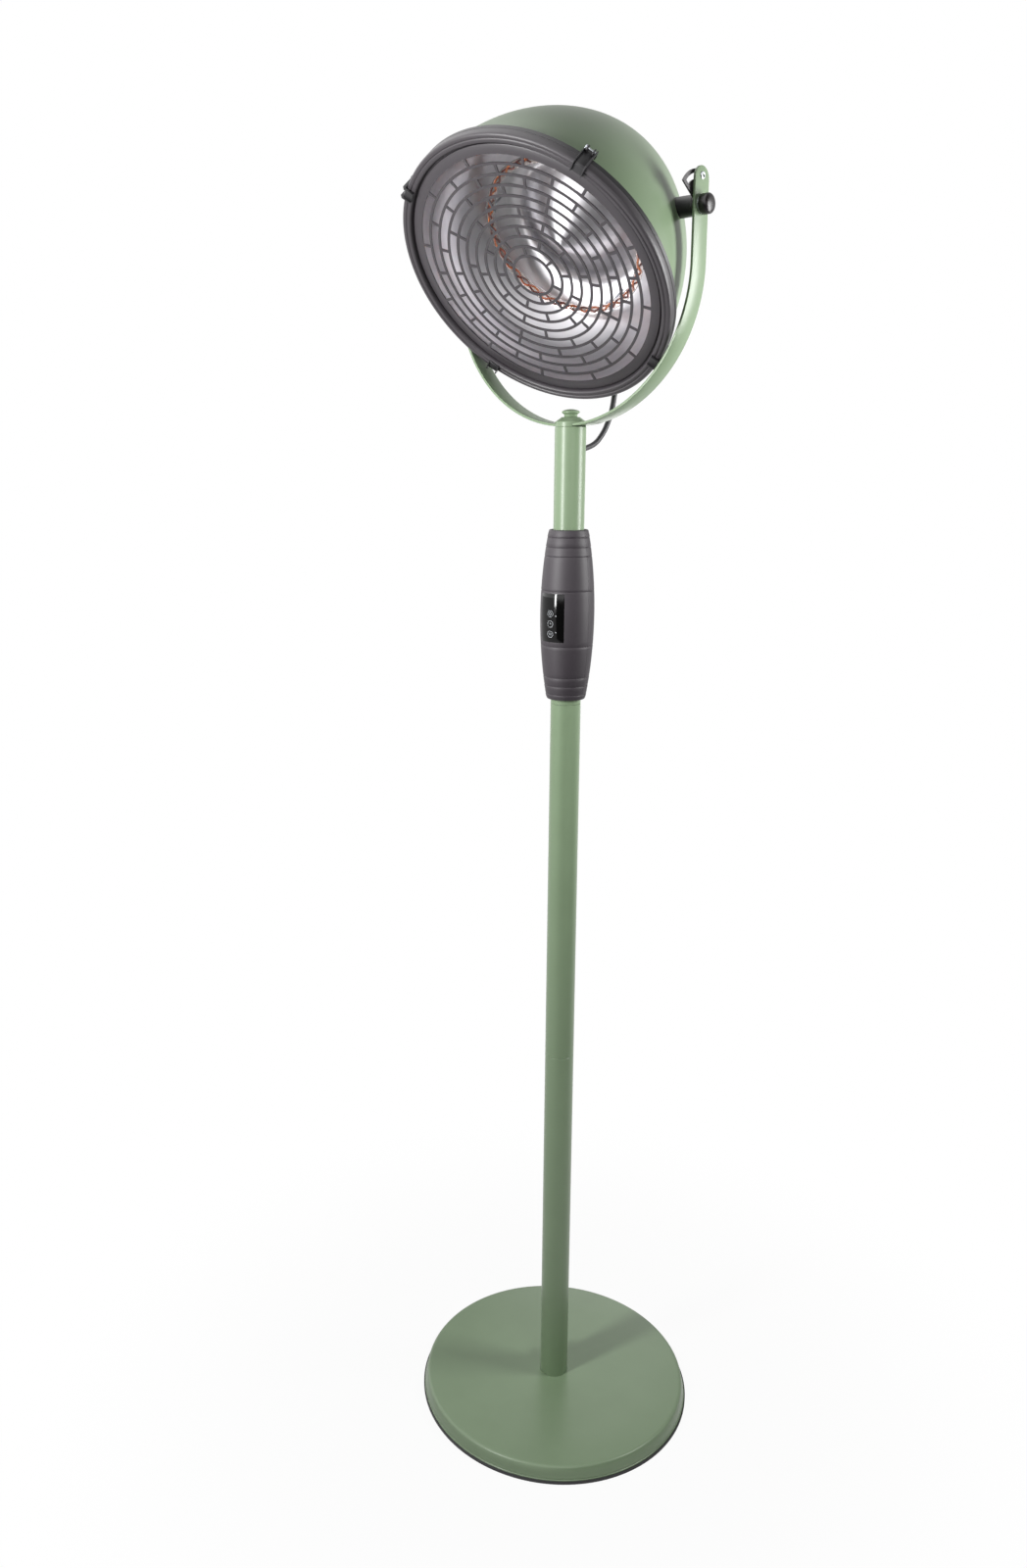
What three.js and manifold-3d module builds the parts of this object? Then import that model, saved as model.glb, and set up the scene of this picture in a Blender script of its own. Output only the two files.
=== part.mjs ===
// Infrared patio heater tower: a round weighted base, a three-piece pole, a barrel-shaped control
// box, and a spun dome with a ring lamp behind a slotted guard, hung in a strap yoke that tilts.
// Millimetres, +Z up, front of the heater towards -Y, origin at the centre of the underside.
import * as THREE from 'three';
import { mergeVertices } from 'three/addons/utils/BufferGeometryUtils.js';
import Module from 'manifold-3d';

const wasm = await Module();
wasm.setup();

// ---------------------------------------------------------------------------- driving dimensions
const GAP = 0.3;                      // clearance between pieces that touch or seat

// base
const PAD_RADIUS = 218.5;             // rubber underlay, the widest part of the base
const PAD_THICKNESS = 2;
const PAD_LIP_HEIGHT = 6;             // raised edge that shows as a dark line round the base
const PAD_LIP_WIDTH = 1.2;
const COVER_TOP_Z = 26.5;
const COVER_FLARE = 5;                // how far the side wall flares out to its foot
const COVER_SHOULDER = 4;             // width of the rounded shoulder round the flat top
const COVER_SHEET = 1.5;
const WEIGHT_INSET = 22;              // cast-iron ballast under the cover, short of the cover's foot
const WEIGHT_THICKNESS = 14;
const POCKET_RADIUS = 14;             // pocket for the bolt head in the ballast's underside
const POCKET_DEPTH = 9;
const BOLT_RADIUS = 6;
const BOLT_HEAD_RADIUS = 10;
const BOLT_HEAD_HEIGHT = 5.8;
const WASHER_RADIUS = 12.5;
const WASHER_THICKNESS = 1.8;
const FOOT_PLUG_LENGTH = 25;
const ANCHOR_NUT_HEIGHT = 10;
const BOLT_END_BEYOND_NUT = 3;

// pole
const POLE_RADIUS = 22.5;
const POLE_WALL = 1.5;
const LOWER_JOINT_Z = 600;            // joint line between the lower and the upper tube
const UPPER_JOINT_Z = 1168;           // joint line just below the control box
const POLE_TOP_Z = 1571.7;
const COUPLER_LENGTH = 80;
const COUPLER_WALL = 3;
const MAINS_GLAND_Z = 70;
const MAINS_GLAND_TURN = 38;          // degrees round the pole from the back towards the left
const MAINS_GLAND_RADIUS = 6;
const MAINS_GLAND_FLANGE_RADIUS = 9;
const MAINS_GLAND_REACH = 18;
const NECK_GROMMET_Z = 1541;
const NECK_GROMMET_RADIUS = 6;
const NECK_GROMMET_FLANGE_RADIUS = 8;
const NECK_GROMMET_FLANGE = 3;
const WIRE_WINDOW_RADIUS = 7;         // hole in the neck tube behind the control board

// control box, a barrel in two half shells round the neck tube
const BOX_BOTTOM_Z = 1176;
const BOX_HEIGHT = 250;
const BOX_END_RADIUS = 29;
const BOX_BELLY_RADIUS = 39.9;
const BOX_EDGE = 1.5;                 // chamfer at both ends
const BOX_WALL = 3;
const BOX_SEAM_HALF_GAP = 0.15;
const GROOVE_DEPTH = 0.6;
const GROOVE_WIDTH = 1.4;
const GROOVE_HEIGHTS = [8, 21, 34, 81, 162, 212, 225, 239]; // above the bottom of the box
const PANEL_BOTTOM = 88;              // above the bottom of the box
const PANEL_HEIGHT = 71;
const PANEL_HALF_ANGLE = 32;          // degrees either side of the front
const PANEL_THICKNESS = 1.4;
const PANEL_POCKET_DEPTH = 1.7;
const BOARD_WIDTH = 30;
const BOARD_THICKNESS = 1.6;
const TOUCH_BOARD_HEIGHT = 64;
const TOUCH_BOARD_Y = -29;            // back face of the touch board
const DISPLAY_SIZE = [22, 2, 18];
const POWER_BOARD_HEIGHT = 120;
const POWER_BOARD_Y = 23;             // front face of the power board
const RELAY_SIZE = [20, 8, 28];
const TILT_SWITCH_RADIUS = 4;
const TILT_SWITCH_HEIGHT = 14;
const BOX_SCREW_RADIUS = 1.5;
const BOX_SCREW_HEAD_RADIUS = 2.8;
const BOX_SCREW_X = 32.5;
const BOX_SCREW_HEIGHT = 125;         // above the bottom of the box
const BOX_BOSS_RADIUS = 5;
const BOX_BOSS_LENGTH = 12;

// yoke and pole head
const YOKE_RADIUS = 205.5;            // outer radius of the half-round strap
const YOKE_SHEET = 3.5;
const YOKE_WIDTH = 31.6;
const ARM_ABOVE_PIVOT = 47;
const PIVOT_ABOVE_BEND = 68.5;        // pivots above the centre of the strap's half circle
const PIVOT_Z = POLE_TOP_Z + GAP + YOKE_RADIUS + PIVOT_ABOVE_BEND;
const STUD_RADIUS = 5;
const NECK_PLUG_LENGTH = 16;
const CAP_CYLINDER = 3;               // straight part of the cap above the strap
const CAP_CONE = 6.5;
const CAP_NECK_RADIUS = 13;
const CAP_SADDLE_OVERLAP = 4;         // how far the cap reaches down beside the strap
const FINIAL_RADIUS = 13;
const FINIAL_NECK_RADIUS = 9.5;
const FINIAL_NECK_HEIGHT = 3.6;
const FINIAL_HEIGHT = 11;
const STOP_ABOVE_PIVOT = 35;
const STOP_RADIUS = 3;
const STOP_BORE_RADIUS = 1.8;
const STOP_FLANGE_RADIUS = 4.8;
const STOP_FLANGE = 1;

// tilting head; its own frame has the pivot at the origin and +Z out of the guard
const REST_TILT = 41;                 // degrees below the horizontal in the photograph
const TILT_UP = 41;                   // travel from rest up to a level head
const TILT_DOWN = 3;                  // travel from rest down to the stop
const DOME_RIM_Z = 105.6;             // rim plane ahead of the pivot
const RING_RADIUS = YOKE_RADIUS + 0.5; // the rim ring is as wide as the yoke
const DOME_INSET = 10.2;              // dome, flanges, reflector and bead are set in from the ring
const DOME_RADIUS = RING_RADIUS - DOME_INSET;
const DOME_DEPTH = 247.2;
const DOME_FULLNESS = 1.79;           // exponent of the dome's rounded outline
const DOME_SHEET = 1.2;
const FLANGE_RADIUS = RING_RADIUS - 3; // flanges of dome and reflector in the rim ring
const REFLECTOR_RADIUS = RING_RADIUS - 20;
const REFLECTOR_DEPTH = 153;
const REFLECTOR_FULLNESS = 1.9;
const REFLECTOR_VALLEY_RADIUS = 92;   // the bowl ends here, round the foot of its raised middle cone
const CONE_FOOT_RADIUS = 84;
const CONE_TIP_RADIUS = 5;
const CONE_TIP_Z = 46;                // flat tip of the cone, ahead of the pivot
const REFLECTOR_SHEET = 1;
const RING_SHEET = 1.5;
const RING_INNER_RADIUS = RING_RADIUS - 18;
const RING_SKIRT = 6;

const GUARD_FRONT_Z = 121.6;          // top of the guard's raised bead
const GUARD_FACE_Z = 117;             // slotted face
const GUARD_SHEET = 1.5;
const BEAD_INNER_RADIUS = RING_RADIUS - 14;
const GUARD_FACE_RADIUS = RING_RADIUS - 27.5; // face disc, before it turns up into the bead
const HUB_RADIUS = 30;                // middle of the first round bar, round the guard's open eye
const ROW_COUNT = 10;
const ROW_PITCH = (GUARD_FACE_RADIUS - HUB_RADIUS - 0.5) / ROW_COUNT;
const BAR_WIDTH = 3.8;
const BRIDGE_WIDTH = 4;
const SLOT_BANDS = [                  // rows of arc slots from the hub outwards, staggered like bricks
  { rows: 4, slots: 6, phase: -38 },
  { rows: 2, slots: 8, phase: -15.5 },
  { rows: 4, slots: 12, phase: -8 },
];
const SLOT_STEP = 17;                 // degrees, most that one straight edge of a slot spans

const CLIP_COUNT = 4;
const CLIP_PHASE = 43;
const CLIP_WIDTH = 17;
const CLIP_SHEET = 1.5;
const CLIP_RIB = 3;                   // height of the two side ribs
const CLIP_HOOK = 11;                 // reach of the hook over the bead
const CLIP_TAIL_Z = 92;
const CLIP_FOOT_RADIUS = RING_RADIUS - 7.4;

const LAMP_Z = 31;
const LAMP_RADIUS = 117;
const LAMP_TUBE_RADIUS = 6;
const LAMP_TUBE_BORE = 4.8;
const LAMP_GAP_ANGLE = 36.5;          // direction of the ring's gap, from +X towards the top of the head
const LAMP_GAP_HALF_ANGLE = 50;
const LAMP_BEND = 14;
const LAMP_LEG = 52;                  // straight leg back through the reflector
const FILAMENT_COIL_RADIUS = 2.6;
const FILAMENT_WIRE_RADIUS = 0.75;
const FILAMENT_CURLS = 15;
const HOLDER_RADIUS = 10;
const HOLDER_LENGTH = 26;
const SUPPORT_ANGLES = [150, 283];
const SUPPORT_WIRE_RADIUS = 1.6;
const SUPPORT_SADDLE = 1.5;
const SUPPORT_CLEARANCE = 0.8;
const TERMINAL_SIZE = [44, 24, 18];

// tilt pivots, from the dome outwards
const SPACER_RADIUS = 13.5;
const PIVOT_BOLT_RADIUS = 5;
const PIVOT_HEAD_RADIUS = 9;
const PIVOT_HEAD_THICKNESS = 4;
const PIVOT_BOLT_IN_KNOB = 8.4;       // length of thread inside the clamp knob
const FRICTION_WASHER = 1.5;
const QUADRANT_SHEET = 2;
const QUADRANT_RIM = 5;               // web outside the arc slot
const OUTER_WASHER = 1.5;
const OUTER_WASHER_RADIUS = 12;
const KNOB_RADIUS = 13;
const KNOB_LENGTH = 13;
const KNOB_EDGE = 3;
const KNOB_BORE_DEPTH = 10;

// lead between the head and the neck tube
const LEAD_RADIUS = 4;
const GLAND_DEPTH = 140;              // distance behind the dome's rim, on its underside
const GLAND_HOLE_RADIUS = 6;
const GLAND_BASE_RADIUS = 10;
const GLAND_MOUTH_RADIUS = 6.5;
const GLAND_REACH = 22;
const GLAND_STEM = 8;                 // how far its stem reaches into the dome
const LEAD_ROUTE_GLAND = [126, 1753.5]; // y, z of the gland's seat that the route below starts from
const LEAD_ROUTE = [                  // y, z in the middle plane, from the gland to the grommet
  [153.8, 1742.8], [156.6, 1733], [154.4, 1719], [147.5, 1703], [138, 1686], [127.5, 1668.5],
  [117.5, 1650.5], [109, 1634], [104, 1619], [101, 1606.5], [97, 1594.5], [90, 1581], [80, 1566.5],
  [66, 1553.5], [54, 1547], [42, 1543.3],
];

// ---------------------------------------------------------------------------------- materials
const finish = (color, roughness, metalness) =>
  new THREE.MeshStandardMaterial({ color, roughness, metalness });
const sagePaint = finish(0x7f9b7c, 0.5, 0.1);
const blackPaint = finish(0x3b383c, 0.45, 0.2);
const darkPlastic = finish(0x4a4548, 0.6, 0.0);
const glossPlastic = finish(0x111113, 0.12, 0.0);
const knobPlastic = finish(0x1b1a1b, 0.2, 0.0);
const rubber = finish(0x171718, 0.85, 0.0);
const castIron = finish(0x3c3c3e, 0.7, 0.6);
const zincSteel = finish(0xb4b7ba, 0.35, 0.9);
const spunAluminium = finish(0xcfcfd2, 0.25, 1.0);
const quartz = finish(0xe9e4df, 0.05, 0.0);
const tungsten = finish(0xb5572e, 0.4, 0.7);
const ceramic = finish(0xe8e2d4, 0.6, 0.0);
const circuitBoard = finish(0x1f5a3a, 0.5, 0.1);
const nylon = finish(0x222224, 0.5, 0.0);

// ------------------------------------------------------------------------------- solid helpers
const rad = THREE.MathUtils.degToRad;

function weld(geometry) {
  const plain = geometry.clone();
  for (const name of Object.keys(plain.attributes)) {
    if (name !== 'position') plain.deleteAttribute(name);
  }
  const welded = mergeVertices(plain, 1e-4);
  const index = Array.from(welded.index.array);
  const kept = [];
  for (let i = 0; i < index.length; i += 3) {
    const [a, b, c] = index.slice(i, i + 3);
    if (a !== b && b !== c && c !== a) kept.push(a, b, c);
  }
  return { positions: welded.attributes.position.array, triangles: kept };
}

function signedVolume({ positions, triangles }) {
  const at = (i) => new THREE.Vector3().fromArray(positions, 3 * i);
  let volume = 0;
  for (let i = 0; i < triangles.length; i += 3) {
    const [a, b, c] = [at(triangles[i]), at(triangles[i + 1]), at(triangles[i + 2])];
    volume += a.dot(b.cross(c)) / 6;
  }
  return volume;
}

// a welded copy with its faces pointing out, whichever way its profile was drawn
function outward(geometry) {
  const mesh = weld(geometry);
  if (signedVolume(mesh) < 0) {
    for (let i = 0; i < mesh.triangles.length; i += 3) {
      [mesh.triangles[i], mesh.triangles[i + 1]] = [mesh.triangles[i + 1], mesh.triangles[i]];
    }
  }
  return mesh;
}

function indexed(positions, triangles) {
  const geometry = new THREE.BufferGeometry();
  geometry.setAttribute('position', new THREE.BufferAttribute(new Float32Array(positions), 3));
  geometry.setIndex(Array.from(triangles));
  return geometry;
}

function toSolid(geometry) {
  const { positions, triangles } = outward(geometry);
  return new wasm.Manifold(new wasm.Mesh({
    numProp: 3,
    vertProperties: new Float32Array(positions),
    triVerts: new Uint32Array(triangles),
  }));
}

function toGeometry(solid) {
  const mesh = solid.getMesh();
  return indexed(mesh.vertProperties, mesh.triVerts);
}

const combine = (operation) => (first, ...others) =>
  toGeometry(others.reduce((solid, other) => solid[operation](toSolid(other)), toSolid(first)));
const join = combine('add');
const cut = combine('subtract');
const common = combine('intersect');

// a closed profile of [radius, height] points turned round the Z axis
function turned(profile, segments = 32) {
  const points = profile.map(([r, z]) => new THREE.Vector2(r, z));
  points.push(points[0].clone());
  return new THREE.LatheGeometry(points, segments).rotateX(Math.PI / 2);
}

const block = (x, y, z) => new THREE.BoxGeometry(x[1] - x[0], y[1] - y[0], z[1] - z[0])
  .translate((x[0] + x[1]) / 2, (y[0] + y[1]) / 2, (z[0] + z[1]) / 2);

const rod = (radius, z0, z1, segments = 16) => new THREE.CylinderGeometry(radius, radius, z1 - z0, segments)
  .rotateX(Math.PI / 2).translate(0, 0, (z0 + z1) / 2);

const tube = (outer, inner, z0, z1, segments = 16) =>
  turned([[inner, z0], [outer, z0], [outer, z1], [inner, z1]], segments);

const alongX = (geometry) => geometry.rotateY(Math.PI / 2);    // +Z becomes +X
const alongY = (geometry) => geometry.rotateX(-Math.PI / 2);   // +Z becomes +Y

const extruded = (shape, depth, curveSegments = 8) =>
  new THREE.ExtrudeGeometry(shape, { depth, bevelEnabled: false, curveSegments });

const swept = (shape, path, steps) =>
  new THREE.ExtrudeGeometry(shape, { extrudePath: path, steps, bevelEnabled: false });

function polygon(radius, sides) {
  const corners = [];
  for (let i = 0; i < sides; i += 1) {
    const angle = (i / sides) * 2 * Math.PI;
    corners.push(new THREE.Vector2(radius * Math.cos(angle), radius * Math.sin(angle)));
  }
  return corners;
}

const heater = new THREE.Group();
const stand = new THREE.Group();
const head = new THREE.Group();
head.position.z = PIVOT_Z;
head.rotation.x = Math.PI / 2 + rad(REST_TILT);
heater.add(stand, head);

function place(group, name, geometry, material) {
  const { positions, triangles } = outward(geometry);
  const mesh = new THREE.Mesh(indexed(positions, triangles), material);
  mesh.name = name;
  group.add(mesh);
  return mesh;
}

// ---------------------------------------------------------------------------------------- base
const coverFootZ = PAD_THICKNESS + GAP;
const coverFootRadius = PAD_RADIUS - PAD_LIP_WIDTH - GAP;
const weightTopZ = coverFootZ + WEIGHT_THICKNESS;
const poleFootZ = weightTopZ + GAP;
const pocketTopZ = coverFootZ + POCKET_DEPTH;
const washerTopZ = pocketTopZ - GAP;
const boltHeadTopZ = washerTopZ - WASHER_THICKNESS - GAP;
const footPlugTopZ = poleFootZ + FOOT_PLUG_LENGTH;
const anchorNutTopZ = footPlugTopZ + GAP + ANCHOR_NUT_HEIGHT;

place(stand, 'base_pad', turned([
  [0, 0], [PAD_RADIUS, 0], [PAD_RADIUS, PAD_LIP_HEIGHT],
  [PAD_RADIUS - PAD_LIP_WIDTH, PAD_LIP_HEIGHT], [PAD_RADIUS - PAD_LIP_WIDTH, PAD_THICKNESS], [0, PAD_THICKNESS],
], 36), rubber);

const coverHoleRadius = POLE_RADIUS + GAP;
const coverShoulderRadius = coverFootRadius - COVER_FLARE;
const coverTopRadius = coverShoulderRadius - COVER_SHOULDER;
const coverShoulderZ = COVER_TOP_Z - COVER_SHOULDER * 0.45;
place(stand, 'base_cover', turned([
  [coverHoleRadius, COVER_TOP_Z], [coverTopRadius, COVER_TOP_Z], [coverShoulderRadius, coverShoulderZ],
  [coverFootRadius, coverFootZ], [coverFootRadius - COVER_SHEET, coverFootZ],
  [coverShoulderRadius - COVER_SHEET, coverShoulderZ - COVER_SHEET],
  [coverTopRadius - COVER_SHEET / 2, COVER_TOP_Z - COVER_SHEET], [coverHoleRadius, COVER_TOP_Z - COVER_SHEET],
], 36), sagePaint);

const weightRadius = coverFootRadius - WEIGHT_INSET;
place(stand, 'base_weight', turned([
  [POCKET_RADIUS, coverFootZ], [weightRadius, coverFootZ], [weightRadius, weightTopZ],
  [BOLT_RADIUS + GAP, weightTopZ], [BOLT_RADIUS + GAP, pocketTopZ], [POCKET_RADIUS, pocketTopZ],
], 20), castIron);

place(stand, 'anchor_bolt', join(
  rod(BOLT_HEAD_RADIUS, boltHeadTopZ - BOLT_HEAD_HEIGHT, boltHeadTopZ, 6),
  rod(BOLT_RADIUS, boltHeadTopZ - 1, anchorNutTopZ + BOLT_END_BEYOND_NUT, 16),
), zincSteel);
place(stand, 'anchor_washer',
  tube(WASHER_RADIUS, BOLT_RADIUS + GAP, washerTopZ - WASHER_THICKNESS, washerTopZ), zincSteel);
const plugRadius = POLE_RADIUS - POLE_WALL - GAP;
place(stand, 'foot_plug', tube(plugRadius, BOLT_RADIUS + GAP, poleFootZ, footPlugTopZ), zincSteel);
place(stand, 'anchor_nut', cut(
  rod(BOLT_HEAD_RADIUS + 1, footPlugTopZ + GAP, anchorNutTopZ, 6),
  rod(BOLT_RADIUS + GAP, footPlugTopZ, anchorNutTopZ + 1, 16),
), zincSteel);

// ---------------------------------------------------------------------------------------- pole
const poleBore = POLE_RADIUS - POLE_WALL;
const poleTube = (z0, z1) => tube(POLE_RADIUS, poleBore, z0, z1, 24);
const sideHole = (radius, z, y0, y1) => alongY(rod(radius, y0, y1, 12)).translate(0, 0, z);

place(stand, 'lower_tube', cut(
  poleTube(poleFootZ, LOWER_JOINT_Z - GAP),
  sideHole(MAINS_GLAND_RADIUS + GAP, MAINS_GLAND_Z, 0, POLE_RADIUS + 5).rotateZ(rad(MAINS_GLAND_TURN)),
), sagePaint);
place(stand, 'upper_tube', poleTube(LOWER_JOINT_Z, UPPER_JOINT_Z), sagePaint);
place(stand, 'neck_tube', cut(
  poleTube(UPPER_JOINT_Z + GAP, POLE_TOP_Z),
  sideHole(NECK_GROMMET_RADIUS + GAP, NECK_GROMMET_Z, 0, POLE_RADIUS + 5),
  sideHole(WIRE_WINDOW_RADIUS, BOX_BOTTOM_Z + PANEL_BOTTOM, -POLE_RADIUS - 5, 0),
), sagePaint);

const coupler = (z) => tube(plugRadius, plugRadius - COUPLER_WALL, z - COUPLER_LENGTH / 2, z + COUPLER_LENGTH / 2, 12);
place(stand, 'lower_coupler', coupler(LOWER_JOINT_Z), zincSteel);
place(stand, 'upper_coupler', coupler(UPPER_JOINT_Z), zincSteel);

// the gland that the mains lead would leave by, low on the back of the pole
const glandSeatY = POLE_RADIUS + GAP;
place(stand, 'mains_gland', alongY(turned([
  [0, poleBore - 3], [MAINS_GLAND_RADIUS, poleBore - 3], [MAINS_GLAND_RADIUS, glandSeatY],
  [MAINS_GLAND_FLANGE_RADIUS, glandSeatY], [MAINS_GLAND_FLANGE_RADIUS, glandSeatY + 4],
  [MAINS_GLAND_RADIUS, glandSeatY + 5], [MAINS_GLAND_RADIUS - 1.5, glandSeatY + MAINS_GLAND_REACH],
  [0, glandSeatY + MAINS_GLAND_REACH],
], 12)).rotateZ(rad(MAINS_GLAND_TURN)).translate(0, 0, MAINS_GLAND_Z), rubber);

const grommetFaceY = glandSeatY + NECK_GROMMET_FLANGE;
place(stand, 'neck_grommet', alongY(turned([
  [0, poleBore - 2], [NECK_GROMMET_RADIUS, poleBore - 2], [NECK_GROMMET_RADIUS, glandSeatY],
  [NECK_GROMMET_FLANGE_RADIUS, glandSeatY], [NECK_GROMMET_FLANGE_RADIUS - 1, grommetFaceY], [0, grommetFaceY],
], 12)).translate(0, 0, NECK_GROMMET_Z), rubber);

// --------------------------------------------------------------------------------- control box
const boxTopZ = BOX_BOTTOM_Z + BOX_HEIGHT;
const boxBore = POLE_RADIUS + GAP;

// barrel radius at a height above the bottom of the box
function barrelRadius(height) {
  const middle = BOX_HEIGHT / 2;
  const share = (height - middle) / middle;
  return BOX_BELLY_RADIUS - (BOX_BELLY_RADIUS - BOX_END_RADIUS) * share * share;
}

function barrelProfile(offset, grooves) {
  const points = [[barrelRadius(0) - BOX_EDGE + offset, 0]];
  const shares = [0.232, 0.416, 0.5, 0.584, 0.76];
  const heights = [BOX_EDGE, ...shares.map((share) => share * BOX_HEIGHT), BOX_HEIGHT - BOX_EDGE];
  const stations = heights.map((height) => [barrelRadius(height) + offset, height]);
  if (grooves) {
    for (const height of GROOVE_HEIGHTS) {
      const radius = barrelRadius(height) + offset;
      stations.push([radius, height - GROOVE_WIDTH / 2], [radius - GROOVE_DEPTH, height]);
      stations.push([radius, height + GROOVE_WIDTH / 2]);
    }
  }
  stations.sort((a, b) => a[1] - b[1]);
  points.push(...stations, [barrelRadius(BOX_HEIGHT) - BOX_EDGE + offset, BOX_HEIGHT]);
  return points;
}

// a solid sector of the barrel, for the panel and its pocket
function barrelSector(offset, z0, z1, halfAngle) {
  const reach = BOX_BELLY_RADIUS * 2;
  const wedge = new THREE.Shape([
    new THREE.Vector2(0, 0),
    new THREE.Vector2(-reach * Math.sin(halfAngle), -reach * Math.cos(halfAngle)),
    new THREE.Vector2(reach * Math.sin(halfAngle), -reach * Math.cos(halfAngle)),
  ]);
  const barrel = turned([[0, 0], ...barrelProfile(offset, false), [0, BOX_HEIGHT]], 40);
  return common(barrel, extruded(wedge, z1 - z0).translate(0, 0, z0));
}

const boxOutside = turned([[0, 0], ...barrelProfile(0, true), [0, BOX_HEIGHT]], 20);
const hollowHeights = [BOX_WALL, 0.28 * BOX_HEIGHT, 0.5 * BOX_HEIGHT, 0.72 * BOX_HEIGHT, BOX_HEIGHT - BOX_WALL];
const boxHollow = turned([
  [0, BOX_WALL], ...hollowHeights.map((height) => [barrelRadius(height) - BOX_WALL, height]),
  [0, BOX_HEIGHT - BOX_WALL],
], 16);
const boxShell = cut(boxOutside, boxHollow, rod(boxBore + 0.2, -1, BOX_HEIGHT + 1, 20));

const panelTop = PANEL_BOTTOM + PANEL_HEIGHT;
const panelAngle = rad(PANEL_HALF_ANGLE);
const panelSideGap = GAP / BOX_BELLY_RADIUS;
const panelPocket = cut(
  barrelSector(2, PANEL_BOTTOM - GAP, panelTop + GAP, panelAngle + panelSideGap),
  barrelSector(-PANEL_POCKET_DEPTH, 0, BOX_HEIGHT, panelAngle + 0.2),
);
const panelGeometry = cut(
  barrelSector(0, PANEL_BOTTOM, panelTop, panelAngle),
  barrelSector(-PANEL_THICKNESS, 0, BOX_HEIGHT, panelAngle + 0.2),
);

const halfSpace = BOX_BELLY_RADIUS + 10;
const frontSpace = block([-halfSpace, halfSpace], [-halfSpace, -BOX_SEAM_HALF_GAP], [-1, BOX_HEIGHT + 1]);
const rearSpace = block([-halfSpace, halfSpace], [BOX_SEAM_HALF_GAP, halfSpace], [-1, BOX_HEIGHT + 1]);
const bossSides = [-1, 1];
const boss = (side, y0, y1, radius) =>
  alongY(rod(radius, y0, y1, 12)).translate(side * BOX_SCREW_X, 0, BOX_SCREW_HEIGHT);
const screwHeadY = BOX_BOSS_LENGTH + GAP;

const frontShell = cut(
  join(common(boxShell, frontSpace),
    ...bossSides.map((side) => boss(side, -BOX_BOSS_LENGTH, -BOX_SEAM_HALF_GAP, BOX_BOSS_RADIUS))),
  panelPocket,
  ...bossSides.map((side) => boss(side, -BOX_BOSS_LENGTH - 1, 0, BOX_SCREW_RADIUS + GAP)),
);
const rearShell = cut(
  join(common(boxShell, rearSpace),
    ...bossSides.map((side) => boss(side, BOX_SEAM_HALF_GAP, BOX_BOSS_LENGTH, BOX_BOSS_RADIUS))),
  ...bossSides.map((side) => boss(side, 0, BOX_BELLY_RADIUS, BOX_SCREW_RADIUS + GAP)),
  ...bossSides.map((side) => boss(side, BOX_BOSS_LENGTH, BOX_BELLY_RADIUS, BOX_SCREW_HEAD_RADIUS + GAP)),
);
const onBox = (geometry) => geometry.translate(0, 0, BOX_BOTTOM_Z);
place(stand, 'box_front_shell', onBox(frontShell), darkPlastic);
place(stand, 'box_rear_shell', onBox(rearShell), darkPlastic);
place(stand, 'control_panel', onBox(panelGeometry), glossPlastic);
bossSides.forEach((side, i) => place(stand, `box_screw_${i + 1}`, onBox(join(
  boss(side, -BOX_BOSS_LENGTH + 2, screwHeadY + 0.5, BOX_SCREW_RADIUS),
  boss(side, screwHeadY, screwHeadY + 2, BOX_SCREW_HEAD_RADIUS),
)), zincSteel));

const panelMiddle = PANEL_BOTTOM + PANEL_HEIGHT / 2;
const centred = (width) => [-width / 2, width / 2];
const around = (middle, height) => [middle - height / 2, middle + height / 2];
place(stand, 'touch_board', onBox(block(centred(BOARD_WIDTH),
  [TOUCH_BOARD_Y - BOARD_THICKNESS, TOUCH_BOARD_Y], around(panelMiddle, TOUCH_BOARD_HEIGHT))), circuitBoard);
const displayBackY = TOUCH_BOARD_Y - BOARD_THICKNESS - GAP;
place(stand, 'display_module', onBox(block(centred(DISPLAY_SIZE[0]),
  [displayBackY - DISPLAY_SIZE[1], displayBackY], around(panelMiddle + 18, DISPLAY_SIZE[2]))), glossPlastic);
place(stand, 'power_board', onBox(block(centred(BOARD_WIDTH),
  [POWER_BOARD_Y, POWER_BOARD_Y + BOARD_THICKNESS], around(panelMiddle, POWER_BOARD_HEIGHT))), circuitBoard);
const partSeatY = POWER_BOARD_Y + BOARD_THICKNESS + GAP;
place(stand, 'power_relay', onBox(block(centred(RELAY_SIZE[0]),
  [partSeatY, partSeatY + RELAY_SIZE[1]], around(panelMiddle - 20, RELAY_SIZE[2]))), knobPlastic);
place(stand, 'tilt_switch', onBox(rod(TILT_SWITCH_RADIUS, 0, TILT_SWITCH_HEIGHT, 12)
  .translate(0, partSeatY + TILT_SWITCH_RADIUS, panelMiddle + 20)), zincSteel);

// ------------------------------------------------------------------------- yoke and pole head
const yokeCentreZ = POLE_TOP_Z + GAP + YOKE_RADIUS;
const armTopZ = PIVOT_Z + ARM_ABOVE_PIVOT;

// the strap's outline in the XZ plane, widened all round by a clearance
function strapOutline(clearance) {
  const outer = YOKE_RADIUS + clearance;
  const inner = YOKE_RADIUS - YOKE_SHEET - clearance;
  const shape = new THREE.Shape();
  shape.moveTo(outer, armTopZ);
  shape.absarc(0, yokeCentreZ, outer, 0, -Math.PI, true);
  shape.lineTo(-outer, armTopZ);
  shape.lineTo(-inner, armTopZ);
  shape.absarc(0, yokeCentreZ, inner, -Math.PI, 0, false);
  shape.lineTo(inner, armTopZ);
  return shape;
}

// extrudes an XZ outline across the width of the strap
const acrossY = (shape, width, curveSegments) =>
  extruded(shape, width, curveSegments).rotateX(Math.PI / 2).translate(0, width / 2, 0);

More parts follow.
